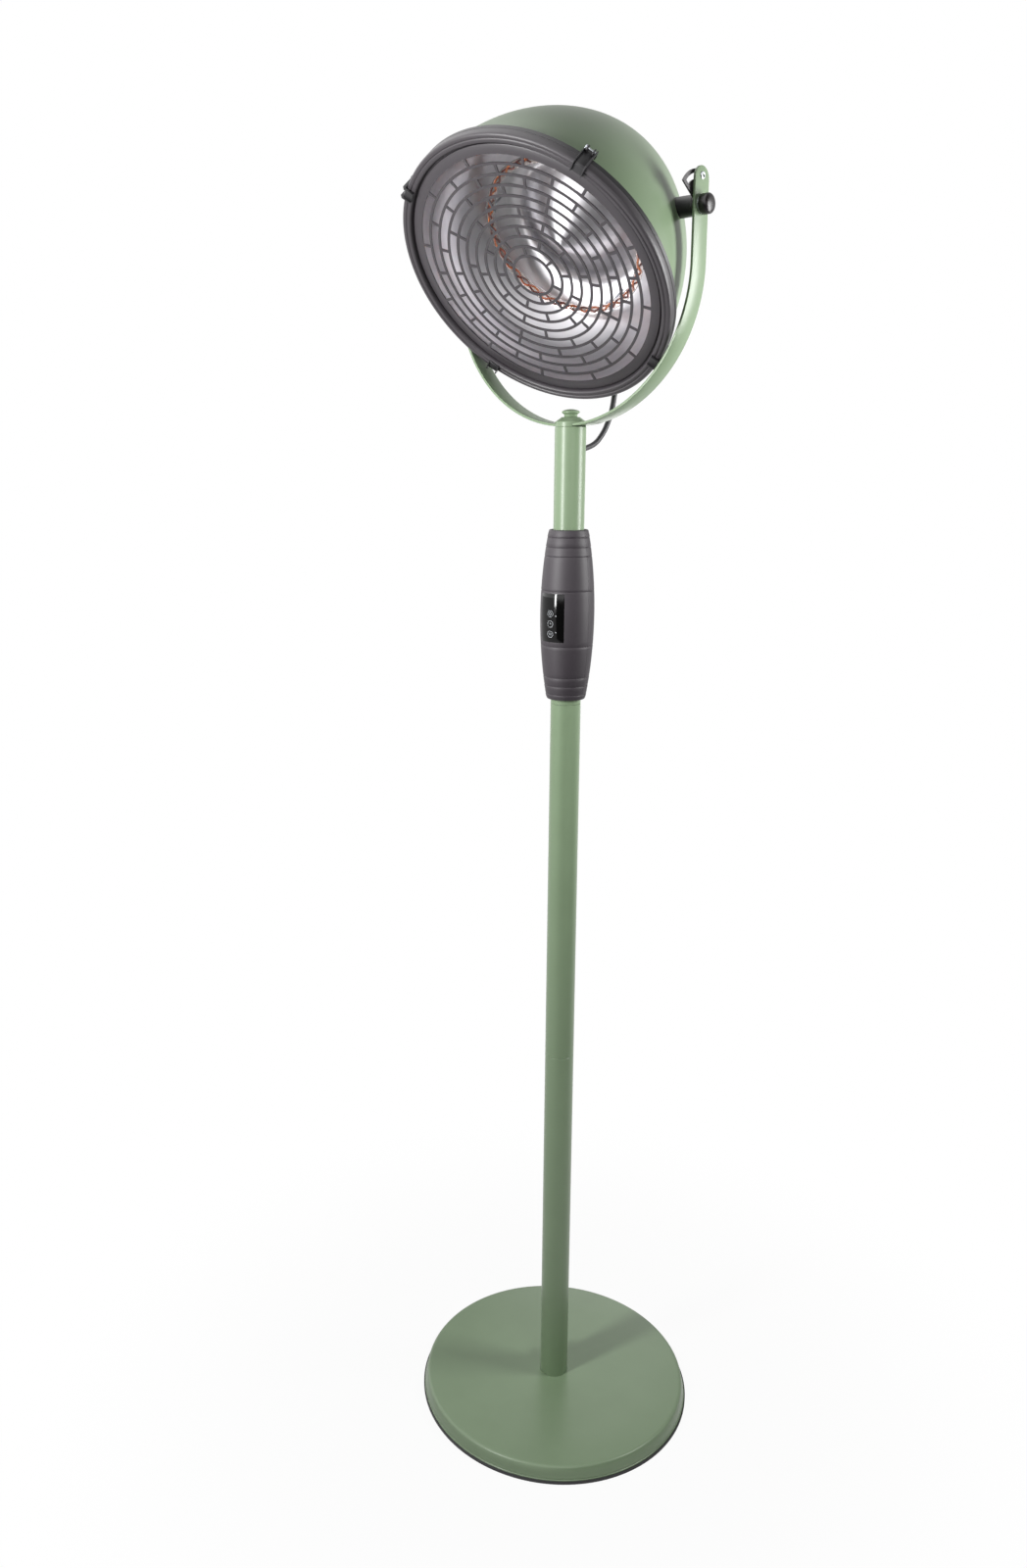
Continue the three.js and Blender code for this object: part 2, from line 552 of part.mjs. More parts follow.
function roundedStrip() {
  const half = YOKE_WIDTH / 2;
  const shape = new THREE.Shape();
  shape.moveTo(-half, POLE_TOP_Z - 10);
  shape.lineTo(half, POLE_TOP_Z - 10);
  shape.absarc(0, armTopZ - half, half, 0, Math.PI, false);
  const reach = YOKE_RADIUS + 10;
  // an outline drawn in (y, z) and extruded along X
  return extruded(shape, 2 * reach, 6).applyMatrix4(new THREE.Matrix4().set(
    0, 0, 1, -reach,
    1, 0, 0, 0,
    0, 1, 0, 0,
    0, 0, 0, 1,
  ));
}

const pivotHole = alongX(rod(PIVOT_BOLT_RADIUS + GAP, -YOKE_RADIUS - 5, YOKE_RADIUS + 5)).translate(0, 0, PIVOT_Z);
const stopZ = PIVOT_Z + STOP_ABOVE_PIVOT;
place(stand, 'yoke', cut(
  common(acrossY(strapOutline(0), YOKE_WIDTH, 18), roundedStrip()),
  pivotHole,
  alongX(rod(STOP_RADIUS + GAP, 0, YOKE_RADIUS + 5, 12)).translate(0, 0, stopZ),
  rod(STUD_RADIUS + GAP, POLE_TOP_Z - 5, POLE_TOP_Z + 10, 16),
), sagePaint);

const capSeatZ = POLE_TOP_Z + GAP + YOKE_SHEET + GAP;
const capConeZ = capSeatZ + CAP_CYLINDER;
const capTopZ = capConeZ + CAP_CONE;
place(stand, 'pole_cap', cut(
  turned([
    [STUD_RADIUS + GAP, capSeatZ - CAP_SADDLE_OVERLAP + GAP], [POLE_RADIUS, capSeatZ - CAP_SADDLE_OVERLAP + GAP],
    [POLE_RADIUS, capConeZ], [CAP_NECK_RADIUS, capTopZ], [STUD_RADIUS + GAP, capTopZ],
  ], 28),
  acrossY(strapOutline(GAP), YOKE_WIDTH + 2 * GAP, 18),
  block(centred(2 * POLE_RADIUS + 2), centred(YOKE_WIDTH + 2 * GAP), [POLE_TOP_Z - 1, POLE_TOP_Z + GAP + YOKE_SHEET]),
), sagePaint);

const finialSeatZ = capTopZ + GAP;
const finialTopZ = finialSeatZ + FINIAL_HEIGHT;
const studTopZ = finialTopZ - 4;
place(stand, 'finial_nut', turned([
  [STUD_RADIUS + GAP, finialSeatZ], [FINIAL_NECK_RADIUS, finialSeatZ],
  [FINIAL_NECK_RADIUS, finialSeatZ + FINIAL_NECK_HEIGHT], [FINIAL_RADIUS, finialSeatZ + FINIAL_NECK_HEIGHT + 2],
  [FINIAL_RADIUS, finialTopZ - 3.4], [FINIAL_NECK_RADIUS, finialTopZ - 2], [0, finialTopZ],
  [0, studTopZ + GAP], [STUD_RADIUS + GAP, studTopZ + GAP],
], 16), sagePaint);
place(stand, 'neck_plug', turned([
  [0, POLE_TOP_Z - NECK_PLUG_LENGTH], [plugRadius, POLE_TOP_Z - NECK_PLUG_LENGTH], [plugRadius, POLE_TOP_Z],
  [STUD_RADIUS, POLE_TOP_Z], [STUD_RADIUS, studTopZ], [0, studTopZ],
], 16), zincSteel);

// ------------------------------------------------------------------------------- tilt pivots
const armInner = YOKE_RADIUS - YOKE_SHEET;
const frictionOuter = armInner - GAP;
const frictionInner = frictionOuter - FRICTION_WASHER;
const quadrantOuter = frictionInner - GAP;
const quadrantInner = quadrantOuter - QUADRANT_SHEET;
const outerWasherInner = YOKE_RADIUS + GAP;
const knobSeat = outerWasherInner + OUTER_WASHER + GAP;
const onPivot = (geometry) => geometry.translate(0, 0, PIVOT_Z);
const sides = [{ name: 'right', sign: 1 }, { name: 'left', sign: -1 }];
const mirrored = (geometry, sign) => (sign > 0 ? geometry : geometry.rotateZ(Math.PI));

for (const { name, sign } of sides) {
  const friction = alongX(tube(SPACER_RADIUS, PIVOT_BOLT_RADIUS + GAP, frictionInner, frictionOuter, 12));
  place(stand, `friction_washer_${name}`, onPivot(mirrored(friction, sign)), nylon);
  const washer = alongX(tube(OUTER_WASHER_RADIUS, PIVOT_BOLT_RADIUS + GAP, outerWasherInner,
    outerWasherInner + OUTER_WASHER, 12));
  place(stand, `outer_washer_${name}`, onPivot(mirrored(washer, sign)), zincSteel);
}

const stopInner = quadrantInner - 0.5;
const stopFlangeX = YOKE_RADIUS + GAP;
place(stand, 'stop_rivet', alongX(turned([
  [STOP_BORE_RADIUS, stopInner], [STOP_RADIUS, stopInner], [STOP_RADIUS, stopFlangeX],
  [STOP_FLANGE_RADIUS, stopFlangeX], [STOP_FLANGE_RADIUS - 0.5, stopFlangeX + STOP_FLANGE],
  [STOP_BORE_RADIUS, stopFlangeX + STOP_FLANGE],
], 12)).translate(0, 0, stopZ), zincSteel);

// ------------------------------------------------------------------------------- dome and rim
// radius of the dome at a distance behind its rim, and the same for the reflector
const roundedRadius = (depth, radius, length, fullness) =>
  radius * (1 - Math.min(1, depth / length) ** fullness) ** (1 / fullness);
const domeRadius = (depth) => roundedRadius(depth, DOME_RADIUS, DOME_DEPTH, DOME_FULLNESS);

// points on a rounded outline from its rim back to its pole or to a flat
function roundedOutline(radius, length, fullness, offset, count, flatRadius) {
  const points = [];
  for (let i = 0; i <= count; i += 1) {
    const angle = (i / count) * (Math.PI / 2);
    const r = (radius + offset) * Math.cos(angle) ** (2 / fullness);
    const depth = (length + offset) * Math.sin(angle) ** (2 / fullness);
    if (r >= flatRadius) points.push([r, depth]);
  }
  return points;
}

const DOME_POINTS = 8;
function domeOutline(offset) {
  return roundedOutline(DOME_RADIUS, DOME_DEPTH, DOME_FULLNESS, offset, DOME_POINTS, 0)
    .map(([r, depth]) => [Math.max(r, 0), DOME_RIM_Z - depth]);
}
const DOME_SEGMENTS = 32;
const domeSolid = (offset) => turned([[0, DOME_RIM_Z], ...domeOutline(offset)], DOME_SEGMENTS);

const domeFlangeBack = DOME_RIM_Z - DOME_SHEET;
const domeShellProfile = [
  [FLANGE_RADIUS, DOME_RIM_Z], [FLANGE_RADIUS, domeFlangeBack], [DOME_RADIUS, domeFlangeBack],
  ...domeOutline(0).slice(1), ...domeOutline(-DOME_SHEET).reverse(),
];
const glandDirection = (() => {
  const step = 1;
  const slope = (domeRadius(GLAND_DEPTH + step) - domeRadius(GLAND_DEPTH - step)) / (2 * step);
  return new THREE.Vector3(0, -1, slope).normalize();
})();
const glandSeat = new THREE.Vector3(0, -domeRadius(GLAND_DEPTH), DOME_RIM_Z - GLAND_DEPTH);

// a solid along +Z moved to a point and turned to a direction
function aimed(geometry, point, direction) {
  const turn = new THREE.Quaternion().setFromUnitVectors(new THREE.Vector3(0, 0, 1), direction.clone().normalize());
  return geometry.applyQuaternion(turn).translate(point.x, point.y, point.z);
}

const pivotBar = (radius) => alongX(rod(radius, -YOKE_RADIUS, YOKE_RADIUS, 12));
place(head, 'dome_shell', cut(
  turned(domeShellProfile, DOME_SEGMENTS),
  pivotBar(PIVOT_BOLT_RADIUS + GAP),
  aimed(rod(GLAND_HOLE_RADIUS, -15, 15, 12), glandSeat, glandDirection),
), sagePaint);

const reflectorFlangeBack = DOME_RIM_Z + GAP;
const reflectorRimZ = reflectorFlangeBack + REFLECTOR_SHEET;
const REFLECTOR_POINTS = 8;
const REFLECTOR_SEGMENTS = 28;
const coneTipBack = (offset) => CONE_TIP_Z - offset * 1.25;
const reflectorOutline = (offset) => {
  const valley = REFLECTOR_VALLEY_RADIUS;
  const points = roundedOutline(REFLECTOR_RADIUS, REFLECTOR_DEPTH, REFLECTOR_FULLNESS, offset, REFLECTOR_POINTS, valley)
    .map(([r, depth]) => [r, reflectorRimZ - depth]);
  const valleyZ = points.at(-1)[1];
  return [...points, [CONE_FOOT_RADIUS, valleyZ], [CONE_TIP_RADIUS, coneTipBack(offset)], [0, coneTipBack(offset)]];
};
const valleyBackZ = reflectorOutline(REFLECTOR_SHEET).at(-3)[1];
const coneSlope = (coneTipBack(REFLECTOR_SHEET) - valleyBackZ) / (CONE_FOOT_RADIUS - CONE_TIP_RADIUS);
const reflectorSolid = (offset) => turned([[0, reflectorRimZ], ...reflectorOutline(offset)], REFLECTOR_SEGMENTS);

const legAngles = [LAMP_GAP_ANGLE + LAMP_GAP_HALF_ANGLE, LAMP_GAP_ANGLE + 360 - LAMP_GAP_HALF_ANGLE].map(rad);
const legCentre = (angle) => {
  const setback = LAMP_BEND / LAMP_RADIUS;
  const turn = angle === legAngles[0] ? angle - setback : angle + setback;
  return [LAMP_RADIUS * Math.cos(turn), LAMP_RADIUS * Math.sin(turn)];
};
const lampLeg = (angle, radius, z0, z1, segments = 12) => {
  const [x, y] = legCentre(angle);
  return rod(radius, z0, z1, segments).translate(x, y, 0);
};
const legEndZ = LAMP_Z - LAMP_BEND - LAMP_LEG;

place(head, 'reflector', cut(
  turned([
    [FLANGE_RADIUS, reflectorRimZ], [FLANGE_RADIUS, reflectorFlangeBack],
    [REFLECTOR_RADIUS + REFLECTOR_SHEET, reflectorFlangeBack],
    ...reflectorOutline(REFLECTOR_SHEET).slice(1), ...reflectorOutline(0).reverse(),
  ], REFLECTOR_SEGMENTS),
  ...legAngles.map((angle) => lampLeg(angle, LAMP_TUBE_RADIUS + 1, legEndZ, LAMP_Z, 12)),
), spunAluminium);

const ringFlangeBack = reflectorRimZ + GAP;
const ringFront = ringFlangeBack + RING_SHEET;
place(head, 'rim_ring', turned([
  [RING_RADIUS, ringFront - RING_SKIRT], [RING_RADIUS, ringFront], [RING_INNER_RADIUS, ringFront],
  [RING_INNER_RADIUS, ringFlangeBack], [RING_RADIUS - RING_SHEET, ringFlangeBack],
  [RING_RADIUS - RING_SHEET, ringFront - RING_SKIRT],
], 40), blackPaint);

// --------------------------------------------------------------------------------------- guard
function arcSlot(inner, outer, start, end) {
  const steps = Math.ceil(THREE.MathUtils.radToDeg(end - start) / SLOT_STEP);
  const corners = [];
  for (let i = 0; i <= steps; i += 1) {
    const angle = start + ((end - start) * i) / steps;
    corners.push(new THREE.Vector2(outer * Math.cos(angle), outer * Math.sin(angle)));
  }
  for (let i = steps; i >= 0; i -= 1) {
    const angle = start + ((end - start) * i) / steps;
    corners.push(new THREE.Vector2(inner * Math.cos(angle), inner * Math.sin(angle)));
  }
  return new THREE.Path(corners);
}

const guardBackZ = GUARD_FACE_Z - GUARD_SHEET;
function guardFace() {
  const disc = new THREE.Shape(polygon(GUARD_FACE_RADIUS + 1, 40));
  disc.holes.push(new THREE.Path(polygon(HUB_RADIUS - BAR_WIDTH / 2, 24).reverse()));
  let row = 0;
  for (const band of SLOT_BANDS) {
    for (let i = 0; i < band.rows; i += 1) {
      const inner = HUB_RADIUS + row * ROW_PITCH + BAR_WIDTH / 2;
      const outer = inner + ROW_PITCH - BAR_WIDTH;
      const pitch = (2 * Math.PI) / band.slots;
      const halfBridge = BRIDGE_WIDTH / (inner + outer);
      const first = rad(band.phase) - (i % 2) * (pitch / 2);
      for (let slot = 0; slot < band.slots; slot += 1) {
        const start = first + slot * pitch + halfBridge;
        disc.holes.push(arcSlot(inner, outer, start, start + pitch - 2 * halfBridge));
      }
      row += 1;
    }
  }
  return extruded(disc, GUARD_SHEET).translate(0, 0, guardBackZ);
}

const guardFootZ = ringFront + GAP;
const beadMiddle = (RING_RADIUS + BEAD_INNER_RADIUS) / 2;
const beadGroove = 1;
const guardRim = turned([
  [RING_RADIUS, guardFootZ], [RING_RADIUS, GUARD_FRONT_Z - 1.6], [RING_RADIUS - 1.6, GUARD_FRONT_Z],
  [beadMiddle + 1.4, GUARD_FRONT_Z], [beadMiddle, GUARD_FRONT_Z - beadGroove], [beadMiddle - 1.4, GUARD_FRONT_Z],
  [BEAD_INNER_RADIUS + 2, GUARD_FRONT_Z], [BEAD_INNER_RADIUS, GUARD_FACE_Z], [GUARD_FACE_RADIUS, GUARD_FACE_Z],
  [GUARD_FACE_RADIUS, guardBackZ], [BEAD_INNER_RADIUS + 1.2, guardBackZ],
  [BEAD_INNER_RADIUS + 3, GUARD_FRONT_Z - GUARD_SHEET - beadGroove / 2],
  [RING_RADIUS - GUARD_SHEET, GUARD_FRONT_Z - GUARD_SHEET - beadGroove / 2], [RING_RADIUS - GUARD_SHEET, guardFootZ],
], 40);
place(head, 'guard', join(guardFace(), guardRim), blackPaint);

// --------------------------------------------------------------------------------------- clips
// channel clips that hook over the bead; each is held to the dome's flange by its foot
const clipInner = RING_RADIUS + GAP;
const clipOuter = clipInner + CLIP_SHEET;
const clipFront = GUARD_FRONT_Z + GAP;
function clipGeometry() {
  const section = (inset, height) => new THREE.Shape([
    new THREE.Vector2(clipInner, CLIP_TAIL_Z + CLIP_SHEET),
    new THREE.Vector2(clipInner, clipFront),
    new THREE.Vector2(clipInner - CLIP_HOOK + inset, clipFront),
    new THREE.Vector2(clipInner - CLIP_HOOK + inset, clipFront + CLIP_SHEET + height),
    new THREE.Vector2(clipOuter + height - 1, clipFront + CLIP_SHEET + height),
    new THREE.Vector2(clipOuter + height, clipFront + CLIP_SHEET + height - 1),
    new THREE.Vector2(clipOuter + height, CLIP_TAIL_Z - height / 2),
    new THREE.Vector2(CLIP_FOOT_RADIUS + inset, CLIP_TAIL_Z - height / 2),
    new THREE.Vector2(CLIP_FOOT_RADIUS + inset, CLIP_TAIL_Z + CLIP_SHEET),
  ]);
  // drawn in (radius, z), extruded across the clip and centred on the XZ plane
  const across = (shape, width, y) => extruded(shape, width).rotateX(Math.PI / 2).translate(0, y + width, 0);
  return join(
    across(section(0, 0), CLIP_WIDTH, -CLIP_WIDTH / 2),
    across(section(0, CLIP_RIB), CLIP_SHEET, -CLIP_WIDTH / 2),
    across(section(0, CLIP_RIB), CLIP_SHEET, CLIP_WIDTH / 2 - CLIP_SHEET),
    alongX(rod(3.2, clipOuter - 0.5, clipOuter + 1.6, 12)).translate(0, 0, CLIP_TAIL_Z + 8),
  );
}
for (let i = 0; i < CLIP_COUNT; i += 1) {
  const angle = rad(CLIP_PHASE + (i * 360) / CLIP_COUNT);
  place(head, `guard_clip_${i + 1}`, cut(clipGeometry(), rod(1, -400, -300)).rotateZ(angle), blackPaint);
}

// ---------------------------------------------------------------------------------------- lamp
// the ring from one leg, round the front, to the other leg
function lampRoute() {
  const points = [];
  const [x0, y0] = legCentre(legAngles[0]);
  points.push(new THREE.Vector3(x0, y0, legEndZ), new THREE.Vector3(x0, y0, (legEndZ + LAMP_Z) / 2));
  points.push(new THREE.Vector3(x0, y0, LAMP_Z - LAMP_BEND * 0.6));
  const stops = 36;
  for (let i = 0; i <= stops; i += 1) {
    const angle = legAngles[0] + ((legAngles[1] - legAngles[0]) * i) / stops;
    points.push(new THREE.Vector3(LAMP_RADIUS * Math.cos(angle), LAMP_RADIUS * Math.sin(angle), LAMP_Z));
  }
  const [x1, y1] = legCentre(legAngles[1]);
  points.push(new THREE.Vector3(x1, y1, LAMP_Z - LAMP_BEND * 0.6));
  points.push(new THREE.Vector3(x1, y1, (legEndZ + LAMP_Z) / 2), new THREE.Vector3(x1, y1, legEndZ));
  return new THREE.CatmullRomCurve3(points);
}
const tubeSection = new THREE.Shape(polygon(LAMP_TUBE_RADIUS, 6));
tubeSection.holes.push(new THREE.Path(polygon(LAMP_TUBE_BORE, 6).reverse()));
place(head, 'lamp_tube', swept(tubeSection, lampRoute(), 38), quartz);

// one strand of the twisted filament, a helix round the middle line of the ring
class FilamentCurve extends THREE.Curve {
  getPoint(share, target = new THREE.Vector3()) {
    const margin = LAMP_BEND / LAMP_RADIUS;
    const start = legAngles[0] + margin;
    const angle = start + (legAngles[1] - margin - start) * share;
    const turn = share * FILAMENT_CURLS * 2 * Math.PI;
    const radius = LAMP_RADIUS + FILAMENT_COIL_RADIUS * Math.cos(turn);
    return target.set(radius * Math.cos(angle), radius * Math.sin(angle),
      LAMP_Z + FILAMENT_COIL_RADIUS * Math.sin(turn));
  }
}
const CURL_STEPS = 8;
const filamentCurve = new FilamentCurve();
place(head, 'filament', swept(new THREE.Shape(polygon(FILAMENT_WIRE_RADIUS, 3)),
  filamentCurve, FILAMENT_CURLS * CURL_STEPS), tungsten);

// least gap of the filament to itself, between points at least half a curl apart
{
  const count = FILAMENT_CURLS * CURL_STEPS;
  const points = filamentCurve.getPoints(count);
  let least = Infinity;
  for (let i = 0; i < count; i += 1) {
    for (let j = i + CURL_STEPS / 2; j <= count; j += 1) least = Math.min(least, points[i].distanceTo(points[j]));
  }
  console.log(`least gap of the filament to itself: ${(least - 2 * FILAMENT_WIRE_RADIUS).toFixed(2)} mm`);
}

const holderFrontZ = legEndZ + HOLDER_LENGTH;
legAngles.forEach((angle, i) => place(head, `lamp_holder_${i + 1}`, cut(
  lampLeg(angle, HOLDER_RADIUS, legEndZ - 4, holderFrontZ + 12, 12),
  lampLeg(angle, LAMP_TUBE_RADIUS + GAP, legEndZ - GAP, holderFrontZ + 13),
  reflectorSolid(REFLECTOR_SHEET + GAP),
), ceramic));

SUPPORT_ANGLES.forEach((degrees, i) => {
  const saddleInner = LAMP_TUBE_RADIUS + SUPPORT_CLEARANCE;
  const saddleOuter = saddleInner + SUPPORT_SADDLE;
  const saddle = cut(
    alongY(tube(saddleOuter, saddleInner, -2, 2, 16)),
    block([-saddleOuter - 1, saddleOuter + 1], [-3, 3], [1.5, saddleOuter + 1]),
  );
  const support = join(
    saddle.translate(LAMP_RADIUS, 0, LAMP_Z),
    rod(SUPPORT_WIRE_RADIUS, -30, LAMP_Z - saddleInner - 0.4, 10).translate(LAMP_RADIUS, 0, 0),
  );
  place(head, `lamp_support_${i + 1}`,
    common(support.rotateZ(rad(degrees)), reflectorSolid(-GAP)), zincSteel);
});

// the terminal block nests in the hollow back of the cone
const terminalReach = Math.hypot(TERMINAL_SIZE[0], TERMINAL_SIZE[1]) / 2;
const terminalTopZ = coneTipBack(REFLECTOR_SHEET) - coneSlope * (terminalReach - CONE_TIP_RADIUS) - 2 * GAP;
place(head, 'terminal_block', block(centred(TERMINAL_SIZE[0]), centred(TERMINAL_SIZE[1]),
  [terminalTopZ - TERMINAL_SIZE[2], terminalTopZ]), ceramic);

// ------------------------------------------------------------------- spacers, bolts, quadrant
for (const { name, sign } of sides) {
  const spacerEnd = sign > 0 ? quadrantInner - GAP : quadrantOuter;
  const spacer = cut(
    mirrored(alongX(tube(SPACER_RADIUS, PIVOT_BOLT_RADIUS + GAP, DOME_RADIUS - 45, spacerEnd, 20)), sign),
    domeSolid(GAP),
  );
  place(head, `spacer_${name}`, spacer, blackPaint);
  const boltHead = common(
    mirrored(alongX(rod(PIVOT_HEAD_RADIUS, domeRadius(DOME_RIM_Z) - 3 - PIVOT_HEAD_THICKNESS, YOKE_RADIUS, 16)), sign),
    domeSolid(-DOME_SHEET - GAP),
  );
  const shank = mirrored(alongX(rod(PIVOT_BOLT_RADIUS, domeRadius(DOME_RIM_Z) - 4, knobSeat + PIVOT_BOLT_IN_KNOB, 12)), sign);
  place(head, `pivot_bolt_${name}`, join(boltHead, shank), zincSteel);
}

// the quadrant turns with the head; its arc slot runs on the stop rivet
const slotInner = STOP_ABOVE_PIVOT - STOP_RADIUS - 2 * GAP;
const slotOuter = STOP_ABOVE_PIVOT + STOP_RADIUS + 2 * GAP;
const quadrantRadius = slotOuter + QUADRANT_RIM;
const slotEndAngle = (STOP_RADIUS + 2 * GAP) / STOP_ABOVE_PIVOT;
const slotFrom = Math.PI / 2 - rad(TILT_DOWN) - slotEndAngle;  // behind the rivet
const slotTo = Math.PI / 2 + rad(TILT_UP) + slotEndAngle;      // ahead of it
const rimAngle = QUADRANT_RIM / STOP_ABOVE_PIVOT;
// drawn in a plane with the front to its left and up at 90 degrees
const sector = new THREE.Shape();
sector.moveTo(0, 0);
sector.absarc(0, 0, quadrantRadius, slotFrom - rimAngle, slotTo + rimAngle, false);
sector.lineTo(0, 0);
const slotShape = new THREE.Shape();
slotShape.absarc(0, 0, slotOuter, slotFrom, slotTo, false);
slotShape.absarc(0, 0, slotInner, slotTo, slotFrom, true);
// maps the drawing's (x, y, depth) to (depth along X, y, z) at rest
const toPivotPlane = new THREE.Matrix4().set(
  0, 0, 1, 0,
  1, 0, 0, 0,
  0, 1, 0, 0,
  0, 0, 0, 1,
);
const quadrantFlat = cut(
  join(extruded(sector, QUADRANT_SHEET, 8), rod(SPACER_RADIUS, 0, QUADRANT_SHEET, 20)),
  extruded(slotShape, QUADRANT_SHEET + 2, 8).translate(0, 0, -1),
  rod(PIVOT_BOLT_RADIUS + GAP, -1, QUADRANT_SHEET + 1, 16),
);
const quadrant = quadrantFlat.applyMatrix4(toPivotPlane).translate(quadrantInner, 0, 0);
place(head, 'tilt_quadrant', quadrant.rotateX(-head.rotation.x), blackPaint);

// -------------------------------------------------------------------------------------- knobs
for (const { name, sign } of sides) {
  const knob = alongX(turned([
    [PIVOT_BOLT_RADIUS + GAP, knobSeat], [KNOB_RADIUS - 1, knobSeat], [KNOB_RADIUS, knobSeat + 1],
    [KNOB_RADIUS, knobSeat + KNOB_LENGTH - KNOB_EDGE], [KNOB_RADIUS - KNOB_EDGE, knobSeat + KNOB_LENGTH - 0.6],
    [0, knobSeat + KNOB_LENGTH], [0, knobSeat + KNOB_BORE_DEPTH], [PIVOT_BOLT_RADIUS + GAP, knobSeat + KNOB_BORE_DEPTH],
  ], 20));
  place(stand, `clamp_knob_${name}`, onPivot(mirrored(knob, sign)), knobPlastic);
}

// -------------------------------------------------------------------------- gland and the lead
const glandBody = cut(
  aimed(turned([
    [0, -6], [GLAND_BASE_RADIUS, -6], [GLAND_BASE_RADIUS, 5], [GLAND_MOUTH_RADIUS + 1, 7],
    [GLAND_MOUTH_RADIUS, GLAND_REACH], [0, GLAND_REACH],
  ], 12), glandSeat, glandDirection),
  domeSolid(GAP),
);
const glandStem = aimed(rod(GLAND_HOLE_RADIUS - GAP, -GLAND_STEM, 4, 12), glandSeat, glandDirection);
place(head, 'dome_gland', join(glandBody, glandStem), rubber);

// the lead hangs from the gland to the grommet in the middle plane
head.updateMatrix();
const glandMouth = glandSeat.clone().addScaledVector(glandDirection, GLAND_REACH + GAP).applyMatrix4(head.matrix);
const glandPlace = glandSeat.clone().applyMatrix4(head.matrix);
const glandShift = [glandPlace.y - LEAD_ROUTE_GLAND[0], glandPlace.z - LEAD_ROUTE_GLAND[1]];
const leadPoints = LEAD_ROUTE.map(([y, z], i) => {
  const share = 1 - i / (LEAD_ROUTE.length - 1);
  return new THREE.Vector3(0, y + glandShift[0] * share, z + glandShift[1] * share);
});
const leadEnd = new THREE.Vector3(0, grommetFaceY + GAP, NECK_GROMMET_Z);
const glandOut = glandDirection.clone().transformDirection(head.matrix);
const leadCurve = new THREE.CatmullRomCurve3([
  glandMouth, glandMouth.clone().addScaledVector(glandOut, 4), ...leadPoints,
  leadEnd.clone().add(new THREE.Vector3(0, 5, 0)), leadEnd,
]);
place(stand, 'lead_cable', swept(new THREE.Shape(polygon(LEAD_RADIUS, 8)), leadCurve, 18), rubber);

export default heater;
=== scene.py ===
"""Infrared patio heater tower: a round weighted base, a slim pole in three lengths, a barrel-shaped
control box, and a spun dome with a ring lamp behind a slotted guard, hung in a tilting strap yoke."""

import math

import bpy
from mathutils import Matrix, Vector


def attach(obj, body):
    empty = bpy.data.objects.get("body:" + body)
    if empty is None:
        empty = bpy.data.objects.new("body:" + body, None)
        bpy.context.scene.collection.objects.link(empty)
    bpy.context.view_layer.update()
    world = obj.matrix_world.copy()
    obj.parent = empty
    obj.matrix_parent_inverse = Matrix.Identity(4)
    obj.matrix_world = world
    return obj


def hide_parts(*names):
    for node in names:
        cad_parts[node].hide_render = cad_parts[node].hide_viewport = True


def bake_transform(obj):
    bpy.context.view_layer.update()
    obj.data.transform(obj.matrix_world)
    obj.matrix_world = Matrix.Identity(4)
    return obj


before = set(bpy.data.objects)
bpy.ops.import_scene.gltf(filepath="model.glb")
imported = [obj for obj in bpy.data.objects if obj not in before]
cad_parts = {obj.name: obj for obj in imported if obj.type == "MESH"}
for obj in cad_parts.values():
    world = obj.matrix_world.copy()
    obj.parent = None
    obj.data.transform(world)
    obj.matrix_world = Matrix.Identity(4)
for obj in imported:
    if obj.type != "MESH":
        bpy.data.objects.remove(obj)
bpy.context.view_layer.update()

# ------------------------------------------------------------------------------- rubber underlay
# The whole heater stands on a moulded rubber mat with a thin raised edge. Moulded rubber is matt,
# nearly black and a little uneven, so it shows only as a dark line round the foot of the base.
MM = 0.001
PAD_PROFILE = [(0, 0), (217.6, 0), (218.5, 0.8), (218.5, 5.4), (218.0, 6), (217.5, 5.8), (217.3, 2), (0, 2)]


def select_only(*pieces):
    """Selects these pieces alone and makes the first one active."""
    bpy.ops.object.select_all(action="DESELECT")
    for piece in pieces:
        piece.select_set(True)
    bpy.context.view_layer.objects.active = pieces[0]


def close_edit(weld=0.0):
    """Welds points closer than a distance in millimetres, turns faces outwards and leaves edit mode."""
    bpy.ops.mesh.select_all(action="SELECT")
    if weld:
        bpy.ops.mesh.remove_doubles(threshold=weld * MM)
    bpy.ops.mesh.normals_make_consistent(inside=False)
    bpy.ops.object.mode_set(mode="OBJECT")


def turned(name, profile, sides=160):
    """A circle extruded and scaled ring by ring along a profile of (radius, height) in millimetres."""
    bpy.ops.object.select_all(action="DESELECT")
    radius, height = profile[0]
    bpy.ops.mesh.primitive_circle_add(vertices=sides, radius=max(radius, 0.01) * MM, location=(0, 0, height * MM))
    piece = bpy.context.object
    piece.name = piece.data.name = name
    bpy.ops.object.mode_set(mode="EDIT")
    bpy.ops.mesh.select_mode(type="VERT")
    bpy.ops.mesh.select_all(action="SELECT")
    for (radius, height), (next_radius, next_height) in zip(profile, profile[1:]):
        grow = max(next_radius, 0.01) / max(radius, 0.01)
        bpy.ops.mesh.extrude_region_move(TRANSFORM_OT_translate={"value": (0, 0, (next_height - height) * MM)})
        bpy.ops.transform.resize(value=(grow, grow, 1), center_override=(0, 0, next_height * MM))
    close_edit(0.03)
    bpy.ops.object.transform_apply(location=True, rotation=True, scale=True)
    return piece


def apply_modifier(piece, kind, **settings):
    """Adds one modifier with its settings and applies it."""
    select_only(piece)
    modifier = piece.modifiers.new(kind.lower(), kind)
    for key, value in settings.items():
        setattr(modifier, key, value)
    bpy.ops.object.modifier_apply(modifier=modifier.name)


